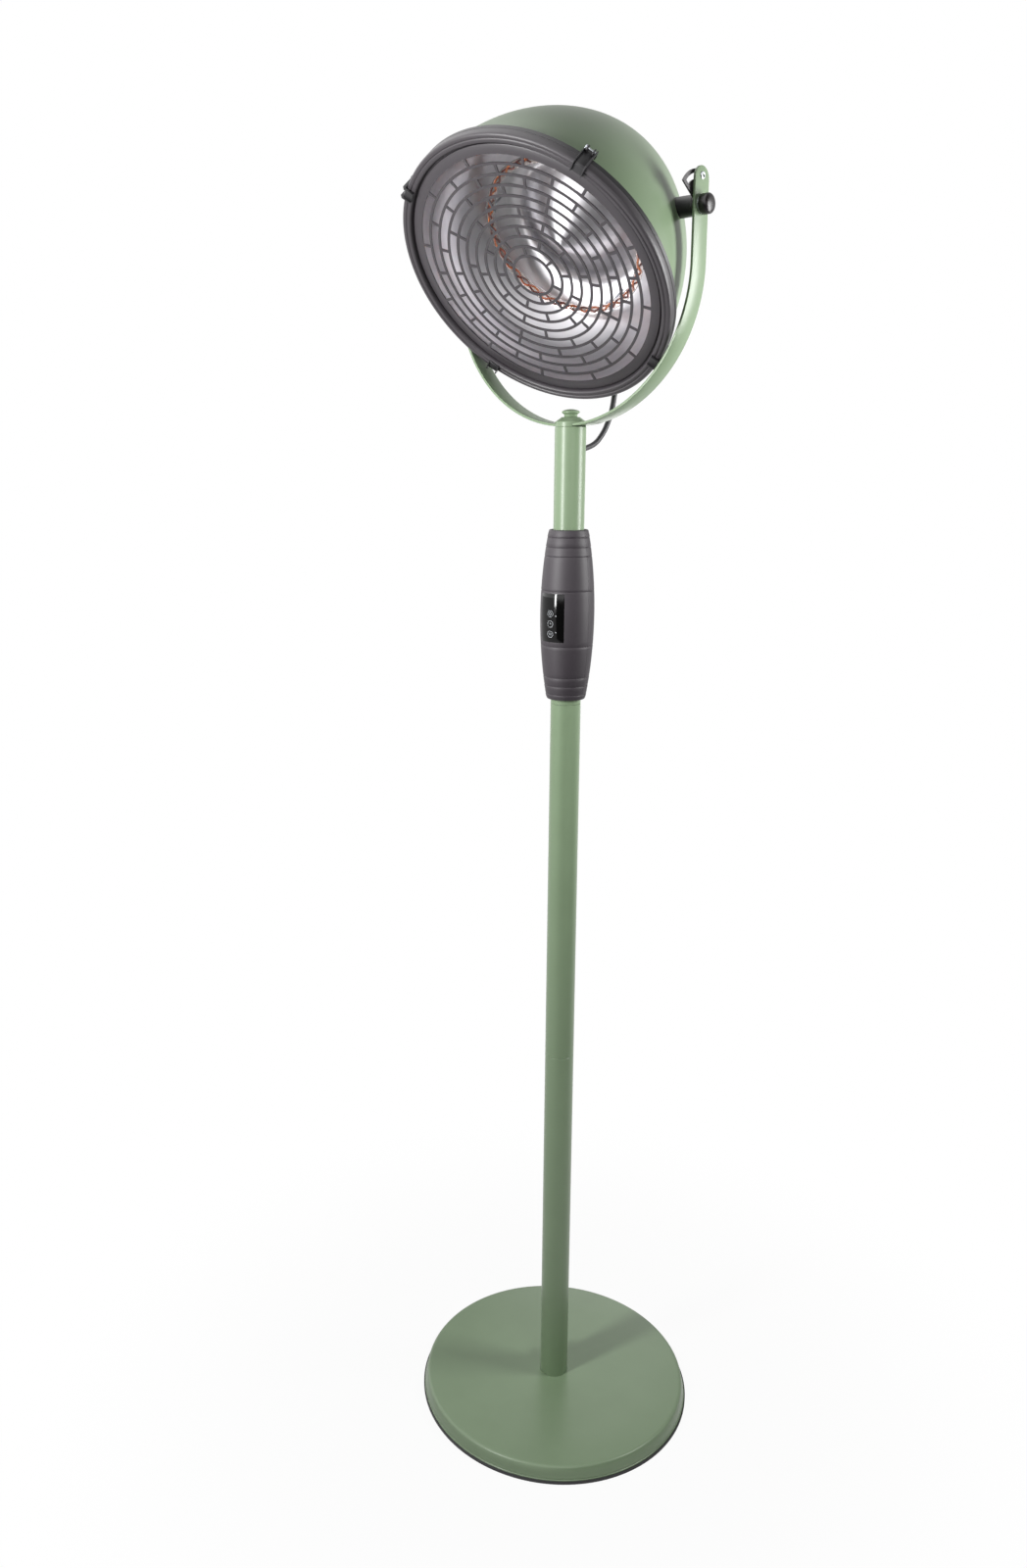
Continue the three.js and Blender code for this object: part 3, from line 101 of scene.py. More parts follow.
def soften(piece, width, segments=2, angle=30):
    """Rounds the edges sharper than an angle by a width in millimetres, then shades the rest smooth."""
    if width:
        apply_modifier(piece, "BEVEL", width=width * MM, segments=segments, limit_method="ANGLE",
                       angle_limit=math.radians(angle), use_clamp_overlap=True)
    select_only(piece)
    bpy.ops.object.shade_smooth_by_angle(angle=math.radians(35))


def linear(hex_colour):
    """An sRGB hex colour as the linear values that a shader takes."""
    channels = [int(hex_colour[i:i + 2], 16) / 255 for i in (1, 3, 5)]
    return tuple(c / 12.92 if c <= 0.04045 else ((c + 0.055) / 1.055) ** 2.4 for c in channels) + (1.0,)


def add_node(material, kind, inputs=None, **settings):
    """Adds a shader node to a material, sets it, and links or fills its inputs."""
    node = material.node_tree.nodes.new(kind)
    for key, value in settings.items():
        setattr(node, key, value)
    for key, value in (inputs or {}).items():
        if isinstance(value, bpy.types.NodeSocket):
            material.node_tree.links.new(value, node.inputs[key])
        else:
            node.inputs[key].default_value = value
    return node


def empty_material(name):
    material = bpy.data.materials.new(name)
    material.use_nodes = True
    material.node_tree.nodes.clear()
    return material


def mottled(name, tones, cloud, roughness, skin, bump=None, speck=None):
    """A material whose colour drifts between two tones with a noise, cloud, of a scale and a detail.

    Roughness is one value, or a range that the noise speck or else cloud runs through. Bump is the
    scale and detail of a third noise, with the bump's strength and its depth in metres.
    """
    material = empty_material(name)
    where = add_node(material, "ShaderNodeTexCoord")

    def noise(scale, detail):
        return add_node(material, "ShaderNodeTexNoise", {
            "Vector": where.outputs["Object"], "Scale": scale, "Detail": detail}).outputs["Fac"]

    drift = noise(*cloud)
    tone = add_node(material, "ShaderNodeMix", {0: drift, 6: linear(tones[0]), 7: linear(tones[1])},
                    data_type="RGBA")
    if isinstance(roughness, tuple):
        gloss = add_node(material, "ShaderNodeMapRange", {
            "Value": noise(*speck) if speck else drift, "To Min": roughness[0], "To Max": roughness[1]})
        roughness = gloss.outputs["Result"]
    inputs = {"Base Color": tone.outputs[2], "Roughness": roughness, **skin}
    if bump:
        scale, detail, strength, depth = bump
        raised = add_node(material, "ShaderNodeBump", {
            "Height": noise(scale, detail), "Strength": strength, "Distance": depth})
        inputs["Normal"] = raised.outputs["Normal"]
    surface = add_node(material, "ShaderNodeBsdfPrincipled", inputs)
    add_node(material, "ShaderNodeOutputMaterial", {"Surface": surface.outputs["BSDF"]})
    return material


def hand_over(piece, material, body, slot, *nodes):
    """Gives a finished piece its material and body, and lets it stand for its CAD nodes. The slot argument is not
    used.
    """
    piece.data.materials.clear()
    piece.data.materials.append(material)
    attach(piece, body)
    if nodes:
        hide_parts(*nodes)


def dress(material, *nodes):
    """Puts a material on CAD nodes whose shape is already right."""
    for name in nodes:
        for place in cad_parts[name].material_slots:
            place.link = "OBJECT"
            place.material = material


# Moulded nitrile rubber: matt, IOR 1.5, a grain of about 1 mm that only the highlights show.
moulded_rubber = mottled("moulded_black_rubber", ("#151516", "#242425"), (30, 4), 0.72, {"IOR": 1.5},
                         bump=(900, 3, 0.25, 0.0002))

underlay = turned("rubber_underlay", PAD_PROFILE)
soften(underlay, 0)
hand_over(underlay, moulded_rubber, "stand", "rubber", "base_pad")

# ------------------------------------------------------------------------------------ base cover
# A pressed steel dish, 434 mm across, with a flat top, a rounded shoulder and a wall that flares to
# a rolled bead at its foot. It is powder-coated satin sage green like the pole, yoke and dome.
COVER_PROFILE = [
    (22.8, 26.5), (60, 26.5), (150, 26.5), (206.8, 26.5), (208.6, 26.3), (210.2, 25.8), (211.5, 24.9), (212.4, 23.7),
    (214.5, 14), (215.6, 9.2), (215.9, 8.4), (215.3, 7.8), (215.4, 7.2), (216.4, 6.8), (216.9, 6.2), (217.0, 2.4),
    (215.5, 2.4), (214.6, 6.4), (211, 23), (209.6, 24.5), (207, 25), (22.8, 25), (22.8, 26.5)]
# Powder coat on steel: a dielectric skin, IOR 1.5, satin, with an orange peel of about 2.4 mm that
# breaks up the long highlights, and a faint cloudiness in the pigment.
sage_enamel = mottled("satin_sage_powder_coat", ("#869b7c", "#7d9173"), (14, 4), (0.31, 0.35),
                      {"IOR": 1.5, "Specular IOR Level": 0.42}, bump=(420, 2, 0.04, 0.0002), speck=(1100, 2))

cover = turned("base_cover_pressing", COVER_PROFILE, 240)
soften(cover, 0)
hand_over(cover, sage_enamel, "stand", "sage_paint", "base_cover")

# -------------------------------------------------------------------------- ballast and anchorage
# Out of sight under the cover: a cast-iron ballast disc, and the zinc-plated bolt, washer, nut and
# end plug that clamp the pole to it. The CAD shapes serve, in as-cast iron and bright zinc.
as_cast_iron = mottled("as_cast_grey_iron", ("#2f2f31", "#47474a"), (500, 6), 0.65, {"Metallic": 0.7},
                       bump=(500, 6, 0.5, 0.0004))

# Bright zinc plating: a metal, slightly blue and finely spangled, its gloss varying with the spangle.
bright_zinc = empty_material("bright_zinc_plated_steel")
where = add_node(bright_zinc, "ShaderNodeTexCoord")
spangle = add_node(bright_zinc, "ShaderNodeTexVoronoi", {"Vector": where.outputs["Object"], "Scale": 700.0})
tone = add_node(bright_zinc, "ShaderNodeMix", {
    0: spangle.outputs["Distance"], 6: linear("#c0c4c8"), 7: linear("#a9adb2")}, data_type="RGBA")
gloss = add_node(bright_zinc, "ShaderNodeMapRange", {
    "Value": spangle.outputs["Distance"], "To Min": 0.24, "To Max": 0.38})
skin = add_node(bright_zinc, "ShaderNodeBsdfPrincipled", {
    "Base Color": tone.outputs[2], "Metallic": 1.0, "Roughness": gloss.outputs["Result"]})
add_node(bright_zinc, "ShaderNodeOutputMaterial", {"Surface": skin.outputs["BSDF"]})

dress(as_cast_iron, "base_weight")
dress(bright_zinc, "anchor_bolt", "anchor_washer", "anchor_nut", "foot_plug", "lower_coupler", "upper_coupler",
      "neck_plug")

# ------------------------------------------------------------------------------------------ pole
# Three lengths of 45 mm steel tube with a 1.5 mm wall, sleeved together inside, so that only a
# hairline shows at each joint. The ends are cut square and lightly broken before painting.
TUBES = [("lower_pole_tube", 16.6, 599.7, "lower_tube"), ("upper_pole_tube", 600.0, 1168.0, "upper_tube"),
         ("neck_pole_tube", 1168.3, 1571.7, "neck_tube")]
TUBE_RADIUS, TUBE_BORE = 22.5, 21
BROKEN_EDGE = 0.4

for name, foot, top, node in TUBES:
    tube = turned(name, [
        (TUBE_BORE, foot + 0.5), (TUBE_BORE + BROKEN_EDGE, foot), (TUBE_RADIUS - BROKEN_EDGE, foot),
        (TUBE_RADIUS, foot + BROKEN_EDGE), (TUBE_RADIUS, top - BROKEN_EDGE), (TUBE_RADIUS - BROKEN_EDGE, top),
        (TUBE_BORE + BROKEN_EDGE, top), (TUBE_BORE, top - 0.5), (TUBE_BORE, foot + 0.5)], 96)
    soften(tube, 0)
    hand_over(tube, sage_enamel, "stand", "sage_paint", node)

# --------------------------------------------------------------------------------- rubber glands
# Two moulded rubber bushes: the strain relief low on the pole's back where the mains lead leaves,
# and the grommet at the neck that the lead from the dome goes into.
MAINS_GLAND_HEIGHT, MAINS_GLAND_TURN = 70, 38
NECK_GROMMET_HEIGHT = 1541
GLAND_SEAT = TUBE_RADIUS + 0.3


def settle(piece, matrix):
    """Moves a piece by a matrix and bakes the move into its mesh."""
    piece.matrix_world = matrix
    select_only(piece)
    bpy.ops.object.transform_apply(location=True, rotation=True, scale=True)


def aim(piece, point, direction):
    """Turns a piece that was made upright at the origin to a direction, and moves it to a point in metres."""
    turn = Vector((0, 0, 1)).rotation_difference(direction).to_matrix().to_4x4()
    settle(piece, Matrix.Translation(point) @ turn)


relief_profile = [(0, -4), (6, -4), (6, 0), (9, 0), (9, 3.4), (8.4, 4), (6, 4.4)]
for ridge in range(4):
    step, narrower = 5 + 3.2 * ridge, 0.3 * ridge
    relief_profile += [(5.9 - narrower, step), (5.9 - narrower, step + 1.6), (5.1 - narrower, step + 1.9),
                       (5.1 - narrower, step + 2.9)]
relief_profile += [(4.5, 18), (0, 18)]
mains_relief = turned("mains_strain_relief", relief_profile, 48)
soften(mains_relief, 0)
gland_way = Matrix.Rotation(math.radians(MAINS_GLAND_TURN), 3, "Z") @ Vector((0, 1, 0))
aim(mains_relief, (gland_way * GLAND_SEAT + Vector((0, 0, MAINS_GLAND_HEIGHT))) * MM, gland_way)
hand_over(mains_relief, moulded_rubber, "stand", "rubber", "mains_gland")

neck_grommet = turned("neck_cable_grommet", [
    (0, -3.8), (6, -3.8), (6, 0), (7.6, 0), (8, 0.5), (7.8, 1.6), (7, 2.7), (6, 3), (0, 3)], 48)
soften(neck_grommet, 0)
aim(neck_grommet, Vector((0, GLAND_SEAT, NECK_GROMMET_HEIGHT)) * MM, Vector((0, 1, 0)))
hand_over(neck_grommet, moulded_rubber, "stand", "rubber", "neck_grommet")

# ----------------------------------------------------------------------------------- control box
# Two half shells of injection-moulded plastic, screwed together round the neck tube into a barrel.
# Fine V-grooves ring both ends, and two more frame the band that carries the touch window.
BOX_FOOT = 1176
BOX_LENGTH = 250
BOX_MIDDLE_RADIUS, BOX_END_RADIUS = 39.9, 29
BOX_GROOVES = [8, 21, 34, 81, 162, 212, 225, 239]


def barrel_radius(height):
    """Radius of the barrel in millimetres at a height above its foot."""
    share = (height - BOX_LENGTH / 2) / (BOX_LENGTH / 2)
    return BOX_MIDDLE_RADIUS - (BOX_MIDDLE_RADIUS - BOX_END_RADIUS) * share * share


def keep_side(side, offset):
    """Cuts the active piece at an offset along Y in millimetres, and keeps and caps what lies past it."""
    bpy.ops.object.mode_set(mode="EDIT")
    bpy.ops.mesh.select_all(action="SELECT")
    bpy.ops.mesh.bisect(plane_co=(0, side * offset * MM, 0), plane_no=(0, side, 0), use_fill=True,
                        clear_inner=True)
    close_edit()


outside = [(height, barrel_radius(height)) for height in range(4, BOX_LENGTH - 3, 6)]
outside = [point for point in outside if min(abs(point[0] - groove) for groove in BOX_GROOVES) > 1.5]
for groove in BOX_GROOVES:
    edge = barrel_radius(groove)
    outside += [(groove - 0.9, edge), (groove - 0.6, edge - 0.12), (groove - 0.2, edge - 0.6),
                (groove + 0.2, edge - 0.6), (groove + 0.6, edge - 0.12), (groove + 0.9, edge)]
outside.sort()
box_profile = [(23, 0), (27.2, 0), (27.9, 0.2), (28.6, 0.9), (28.9, 1.9)]
box_profile += [(radius, height) for height, radius in outside]
box_profile += [(28.9, 248.1), (28.6, 249.1), (27.9, 249.8), (27.2, 250), (26.6, 249.7), (26.4, 246.6),
                (23, 246.2), (23, 244), (26, 244)]
box_profile += [(barrel_radius(height) - 3, height) for height in (190, 125, 60)] + [(26, 3), (23, 3), (23, 0)]
box_profile = [(radius, height + BOX_FOOT) for radius, height in box_profile]

# Moulded ABS with an eroded tool finish: IOR 1.5, a warm dark grey, and a fine grain of about 0.7 mm.
moulded_abs = mottled("textured_charcoal_abs", ("#302a30", "#292429"), (22, 3), 0.54, {"IOR": 1.5},
                      bump=(1500, 3, 0.18, 0.00015))

HALF_JOINT = 0.15
for name, side, node in (("control_box_front", -1, "box_front_shell"), ("control_box_rear", 1, "box_rear_shell")):
    shell = turned(name, box_profile, 128)
    keep_side(side, HALF_JOINT)
    soften(shell, 0)
    hand_over(shell, moulded_abs, "stand", "dark_plastic", node)

# Inside the box: green circuit boards, a black relay and display, and the tip-over switch.
solder_mask = empty_material("green_solder_mask")
where = add_node(solder_mask, "ShaderNodeTexCoord")
tracks = add_node(solder_mask, "ShaderNodeTexBrick", {
    "Vector": where.outputs["Object"], "Color1": linear("#1f5a3a"), "Color2": linear("#1b5235"),
    "Mortar": linear("#2c7a4e"), "Scale": 300.0, "Mortar Size": 0.03})
skin = add_node(solder_mask, "ShaderNodeBsdfPrincipled", {
    "Base Color": tracks.outputs["Color"], "Roughness": 0.35, "IOR": 1.5})
add_node(solder_mask, "ShaderNodeOutputMaterial", {"Surface": skin.outputs["BSDF"]})
dress(solder_mask, "touch_board", "power_board")
dress(bright_zinc, "box_screw_1", "box_screw_2", "tilt_switch")

# --------------------------------------------------------------------------------- touch window
# A curved window of polished black acrylic set flush in the front shell, with three touch keys
# printed behind it: power, timer and heat. Real sheet has sharp reflections and no grain.
WINDOW_FOOT, WINDOW_TOP, WINDOW_HALF_ANGLE = 88, 159, 32
WINDOW_STEPS = 12

black_acrylic = empty_material("polished_black_acrylic")
where = add_node(black_acrylic, "ShaderNodeTexCoord")
film = add_node(black_acrylic, "ShaderNodeTexNoise", {"Vector": where.outputs["Object"], "Scale": 60.0, "Detail": 4.0})
gloss = add_node(black_acrylic, "ShaderNodeMapRange", {
    "Value": film.outputs["Fac"], "To Min": 0.04, "To Max": 0.1})
skin = add_node(black_acrylic, "ShaderNodeBsdfPrincipled", {
    "Base Color": linear("#030303"), "Roughness": gloss.outputs["Result"], "IOR": 1.49, "Specular IOR Level": 0.3})
add_node(black_acrylic, "ShaderNodeOutputMaterial", {"Surface": skin.outputs["BSDF"]})

def delete_faces(piece, unwanted):
    """Deletes the faces of the active piece that pass a test, and stays in edit mode."""
    bpy.ops.object.mode_set(mode="EDIT")
    bpy.ops.mesh.select_mode(type="FACE")
    bpy.ops.mesh.select_all(action="DESELECT")
    bpy.ops.object.mode_set(mode="OBJECT")
    for face in piece.data.polygons:
        face.select = unwanted(face)
    bpy.ops.object.mode_set(mode="EDIT")
    bpy.ops.mesh.delete(type="FACE")


def flip_faces():
    """Turns every face of the active piece round."""
    bpy.ops.object.mode_set(mode="EDIT")
    bpy.ops.mesh.select_all(action="SELECT")
    bpy.ops.mesh.flip_normals()
    bpy.ops.object.mode_set(mode="OBJECT")


window_heights = [WINDOW_FOOT + i * (WINDOW_TOP - WINDOW_FOOT) / WINDOW_STEPS for i in range(WINDOW_STEPS + 1)]
window = turned("touch_window", [(barrel_radius(height) + 0.15, BOX_FOOT + height) for height in window_heights], 180)
delete_faces(window, lambda face: abs(math.degrees(math.atan2(face.center.x, -face.center.y))) > WINDOW_HALF_ANGLE)
close_edit()
pane = window.data.polygons[0]
if pane.normal.dot(Vector((pane.center.x, pane.center.y, 0))) < 0:
    flip_faces()
apply_modifier(window, "SOLIDIFY", thickness=1.3 * MM, offset=-1)
soften(window, 0.25, 2, 50)
hand_over(window, black_acrylic, "stand", "gloss_panel", "control_panel")
dress(black_acrylic, "display_module", "power_relay")

# The key symbols are a pale grey print, each a thin ring 10 mm across with its mark inside.
key_print = mottled("pale_grey_screen_print", ("#b9bcc0", "#a9adb1"), (800, 2), 0.4, {"IOR": 1.5})


def flat_ring(middle, radius, width, start=0, end=360):
    """A thin flat arc in the XZ plane in millimetres, made from a disc with its middle taken out."""
    bpy.ops.object.select_all(action="DESELECT")
    bpy.ops.mesh.primitive_circle_add(vertices=72, radius=(radius - width / 2) * MM)
    bpy.ops.object.mode_set(mode="EDIT")
    bpy.ops.mesh.select_mode(type="VERT")
    bpy.ops.mesh.select_all(action="SELECT")
    bpy.ops.mesh.extrude_region_move()
    grow = (radius + width / 2) / (radius - width / 2)
    bpy.ops.transform.resize(value=(grow, grow, 1), center_override=(0, 0, 0))
    ring = bpy.context.object
    delete_faces(ring, lambda face: not start <= math.degrees(math.atan2(face.center.y, face.center.x)) % 360 <= end)
    bpy.ops.object.mode_set(mode="OBJECT")
    for vertex in ring.data.vertices:
        x, z = vertex.co.x, vertex.co.y
        vertex.co = (x + middle[0] * MM, 0, z + middle[1] * MM)
    return ring


def flat_bar(start, end, width):
    """A thin flat stroke in the XZ plane between two points in millimetres."""
    bpy.ops.object.select_all(action="DESELECT")
    bpy.ops.mesh.primitive_grid_add(x_subdivisions=6, y_subdivisions=1, size=1)
    bar = bpy.context.object
    a, b = Vector(start), Vector(end)
    along = b - a
    across = Vector((-along.y, along.x)).normalized() * width
    for vertex in bar.data.vertices:
        point = a + along * (vertex.co.x + 0.5) + across * vertex.co.y
        vertex.co = (point.x * MM, 0, point.y * MM)
    return bar

def joined(name, pieces):
    """Joins pieces to one, which takes the first one's place in the scene."""
    select_only(*pieces)
    bpy.ops.object.join()
    whole = bpy.context.object
    whole.name = whole.data.name = name
    return whole


STROKE = 0.55
strokes = []
for height, mark in ((1306, "power"), (1291, "timer"), (1276, "heat")):
    strokes.append(flat_ring((0, height), 4.7, 0.6))
    if mark == "power":
        strokes.append(flat_ring((0, height), 2.1, STROKE, 0, 62))
        strokes.append(flat_ring((0, height), 2.1, STROKE, 118, 360))
        strokes.append(flat_bar((0, height + 0.4), (0, height + 2.7), STROKE))
    elif mark == "timer":
        strokes.append(flat_bar((0, height - 0.2), (0, height + 2.6), STROKE))
        strokes.append(flat_bar((-0.2, height), (2.0, height), STROKE))
    else:
        for x in (-1.6, 0, 1.6):
            strokes.append(flat_bar((x, height - 1.9), (x, height + 1.9), STROKE))
for height in (1303, 1279):
    strokes.append(flat_ring((9.5, height), 0.5, 0.7))
key_marks = joined("key_marks", strokes)
for vertex in key_marks.data.vertices:
    reach = (barrel_radius(vertex.co.z / MM - BOX_FOOT) + 0.24) * MM
    vertex.co = (reach * math.sin(vertex.co.x / reach), -reach * math.cos(vertex.co.x / reach), vertex.co.z)
bpy.ops.object.mode_set(mode="EDIT")
close_edit(0.001)
hand_over(key_marks, key_print, "stand", "gloss_panel")

# ------------------------------------------------------------------------------------------ yoke
# One strip of 3.5 mm steel, 31.6 mm wide, rolled to a half circle with straight arms and rounded
# ends, and painted. Its middle is clamped on top of the pole. Washers hide the holes for the pivots.
PIVOT = Vector((0, 0, 1846)) * MM
STRAP_RADIUS = 205.5
STRAP_CENTRE = 1777.5
STRAP_HALF_WIDTH = 15.8
STRAP_STEPS = 72
ARM_TOP = 1893

bpy.ops.object.select_all(action="DESELECT")
bpy.ops.mesh.primitive_plane_add(size=1)
strap = bpy.context.object
strap.name = strap.data.name = "yoke_strap"
bpy.ops.object.mode_set(mode="EDIT")
bpy.ops.mesh.select_mode(type="VERT")
bpy.ops.mesh.select_all(action="DESELECT")
bpy.ops.object.mode_set(mode="OBJECT")
for vertex in strap.data.vertices:
    vertex.select = vertex.co.x < 0
bpy.ops.object.mode_set(mode="EDIT")
bpy.ops.mesh.delete(type="VERT")
bpy.ops.mesh.select_all(action="SELECT")
bpy.ops.object.mode_set(mode="OBJECT")
for vertex in strap.data.vertices:
    vertex.co = (STRAP_RADIUS * MM, math.copysign(STRAP_HALF_WIDTH, vertex.co.y) * MM, ARM_TOP * MM)
bpy.ops.object.mode_set(mode="EDIT")
bpy.ops.mesh.extrude_region_move(TRANSFORM_OT_translate={"value": (0, 0, (STRAP_CENTRE - ARM_TOP) * MM)})
here = Vector((STRAP_RADIUS, 0, STRAP_CENTRE)) * MM
for step in range(1, STRAP_STEPS + 1):
    angle = -math.pi * step / STRAP_STEPS
    there = Vector((STRAP_RADIUS * math.cos(angle), 0, STRAP_CENTRE + STRAP_RADIUS * math.sin(angle))) * MM
    bpy.ops.mesh.extrude_region_move(TRANSFORM_OT_translate={"value": there - here})
    here = there
bpy.ops.mesh.extrude_region_move(TRANSFORM_OT_translate={"value": (0, 0, (ARM_TOP - STRAP_CENTRE) * MM)})
bpy.ops.mesh.select_all(action="DESELECT")
bpy.ops.object.mode_set(mode="OBJECT")
for vertex in strap.data.vertices:
    vertex.select = vertex.co.z > (ARM_TOP - 1) * MM
bpy.ops.object.mode_set(mode="EDIT")
bpy.ops.mesh.bevel(affect="VERTICES", offset=(STRAP_HALF_WIDTH - 0.05) * MM, segments=10, clamp_overlap=True)
close_edit(0.1)
lowest = min(strap.data.polygons, key=lambda face: face.center.z)
if lowest.normal.z > 0:
    flip_faces()
apply_modifier(strap, "SOLIDIFY", thickness=3.5 * MM, offset=-1)
soften(strap, 0.5, 2, 50)
hand_over(strap, sage_enamel, "stand", "sage_paint", "yoke")

# ------------------------------------------------------------------------------ pole cap and nut
# A turned cap sits over the strap like a saddle and closes the pole, and a flared finial nut screws
# down on the stud through both. All are painted together with the pole.
cap = turned("pole_cap_turned", [
    (5.3, 1575.8), (16.0, 1575.8), (21.9, 1575.8), (22.5, 1576.3), (22.5, 1578.2), (22.2, 1578.9), (21.4, 1579.5),
    (15.2, 1583.9), (14.0, 1584.7), (13.4, 1585.3), (5.3, 1585.3), (5.3, 1575.8)], 96)
soften(cap, 0)
lips = []
for side in (-1, 1):
    lip = turned("cap_lip", [(0, 1571.9), (22.1, 1571.9), (22.5, 1572.3), (22.5, 1576.2), (0, 1576.2)], 96)
    keep_side(side, STRAP_HALF_WIDTH + 0.3)
    soften(lip, 0)
    lips.append(lip)
cap = joined("pole_cap_turned", [cap] + lips)
hand_over(cap, sage_enamel, "stand", "sage_paint", "pole_cap")

finial = turned("finial_nut_turned", [
    (5.3, 1585.6), (9.3, 1585.6), (9.5, 1585.9), (9.5, 1588.4), (9.9, 1589.2), (11.2, 1590.2), (12.5, 1591.0),
    (13.0, 1591.8), (13.0, 1592.6), (12.5, 1593.4), (10.5, 1594.6), (9.2, 1595.1), (4.5, 1596.2), (0, 1596.6),
    (0, 1592.9), (5.3, 1592.9), (5.3, 1585.6)], 72)
soften(finial, 0)
hand_over(finial, sage_enamel, "stand", "sage_paint", "finial_nut")

# ------------------------------------------------------------------------------------------ dome
# The head's back is one deep dome spun from 1.2 mm steel, with a narrow flange that the reflector,
# rim ring and guard are stacked on. It is painted sage outside; spinning leaves it truly round.
HEAD_TILT = math.radians(131)
RIM_PLANE = 105.6
DOME_RADIUS, DOME_DEPTH, DOME_FULLNESS = 195.8, 247.2, 1.79
DOME_SHEET = 1.2
DOME_POINTS = 44


def hang(piece):
    """Brings a head piece, made upright with the lamp facing +Z, to its place at the pivot."""
    settle(piece, Matrix.Translation(PIVOT) @ Matrix.Rotation(HEAD_TILT, 4, "X") @ piece.matrix_world)


def bowl(radius, depth, fullness, rim, points):
    """Points of a rounded bowl outline, as (radius, height), from its rim back to its pole."""
    outline = []
    for i in range(points + 1):
        angle = math.radians(90.0 * i / points)
        outline.append((radius * max(math.cos(angle), 0) ** (2 / fullness),
                        rim - depth * math.sin(angle) ** (2 / fullness)))
    return outline


dome_outside = bowl(DOME_RADIUS, DOME_DEPTH, DOME_FULLNESS, RIM_PLANE, DOME_POINTS)
dome_inside = bowl(DOME_RADIUS - DOME_SHEET, DOME_DEPTH - DOME_SHEET, DOME_FULLNESS, RIM_PLANE, DOME_POINTS)
dome = turned("spun_dome", [
    (202.6, RIM_PLANE), (203, RIM_PLANE - 0.5), (202.6, RIM_PLANE - 1.2), (196.6, RIM_PLANE - 1.4)]
    + dome_outside[2:] + dome_inside[::-1][:-1] + [(194.8, RIM_PLANE), (202.6, RIM_PLANE)], 192)
soften(dome, 0)
hang(dome)
hand_over(dome, sage_enamel, "head", "sage_paint", "dome_shell")

# ------------------------------------------------------------------------------------- reflector
# A bowl spun from bright aluminium and brushed as it turned, so that its circular grooves draw
# every reflection out into radial wedges. Its middle rises from a round valley to a straight cone,
# which throws the lamp's heat outwards and hides the terminal block in its hollow back.
VALLEY = 124
REFLECTOR_RIM = 106.9
REFLECTOR_SHEET = 1.25
CONE = [(117, -8.2), (111, -12.6), (105, -15.8), (99, -17.6), (93, -17.9), (87, -16.2), (81, -12.9), (75, -8.6),
        (66, -1.6), (8.5, 42.6), (6.5, 44.1), (4.6, 45.2), (2.4, 45.9)]
reflector_front = [point for point in bowl(186, 153, 1.9, REFLECTOR_RIM, 48) if point[0] > VALLEY] + CONE
reflector_back = ([point for point in bowl(187, 154, 1.9, REFLECTOR_RIM, 48) if point[0] > VALLEY + 1]
                  + [(radius, height - REFLECTOR_SHEET) for radius, height in CONE])
reflector = turned("spun_reflector", [(203, REFLECTOR_RIM), (203, 105.9), (188, 105.9)] + reflector_back[2:]
                   + [(0, reflector_back[-1][1])] + [(0, reflector_front[-1][1])] + reflector_front[::-1]
                   + [(203, REFLECTOR_RIM)], 192)
soften(reflector, 0)
hang(reflector)

# Bright spun aluminium: a metal whose tool marks run round the axis about 1 mm apart, in wider bands
# of slightly different tone.
spun_aluminium = empty_material("spun_bright_aluminium")
where = add_node(spun_aluminium, "ShaderNodeTexCoord")
own = add_node(spun_aluminium, "ShaderNodeMapping", {
    "Vector": where.outputs["Object"], "Location": PIVOT, "Rotation": (HEAD_TILT, 0, 0)}, vector_type="TEXTURE")
split = add_node(spun_aluminium, "ShaderNodeSeparateXYZ", {"Vector": own.outputs["Vector"]})
level = add_node(spun_aluminium, "ShaderNodeCombineXYZ", {"X": split.outputs["X"], "Y": split.outputs["Y"]})
reach = add_node(spun_aluminium, "ShaderNodeVectorMath", {0: level.outputs["Vector"]}, operation="LENGTH")
arc = add_node(spun_aluminium, "ShaderNodeCombineXYZ", {"X": reach.outputs["Value"], "Z": split.outputs["Z"]})
grooves = add_node(spun_aluminium, "ShaderNodeTexNoise", {
    "Vector": arc.outputs["Vector"], "Scale": 900.0, "Detail": 3.0})
bands = add_node(spun_aluminium, "ShaderNodeTexNoise", {
    "Vector": arc.outputs["Vector"], "Scale": 110.0, "Detail": 2.0})
tone = add_node(spun_aluminium, "ShaderNodeMix", {
    0: bands.outputs["Fac"], 6: linear("#dcdadd"), 7: linear("#c6c4c8")}, data_type="RGBA")
gloss = add_node(spun_aluminium, "ShaderNodeMapRange", {
    "Value": grooves.outputs["Fac"], "To Min": 0.34, "To Max": 0.4})
raised = add_node(spun_aluminium, "ShaderNodeBump", {
    "Height": grooves.outputs["Fac"], "Strength": 0.05, "Distance": 0.0002})
axis = Matrix.Rotation(HEAD_TILT, 3, "X") @ Vector((0, 0, 1))
outward = add_node(spun_aluminium, "ShaderNodeVectorMath", {0: where.outputs["Object"], 1: PIVOT},
                   operation="SUBTRACT")
round_axis = add_node(spun_aluminium, "ShaderNodeVectorMath", {0: axis, 1: outward.outputs["Vector"]},
                      operation="CROSS_PRODUCT")
tangent = add_node(spun_aluminium, "ShaderNodeVectorMath", {0: round_axis.outputs["Vector"]}, operation="NORMALIZE")
skin = add_node(spun_aluminium, "ShaderNodeBsdfPrincipled", {
    "Base Color": tone.outputs[2], "Metallic": 1.0, "Roughness": gloss.outputs["Result"], "Anisotropic": 0.92,
    "Normal": raised.outputs["Normal"], "Tangent": tangent.outputs["Vector"]})
add_node(spun_aluminium, "ShaderNodeOutputMaterial", {"Surface": skin.outputs["BSDF"]})
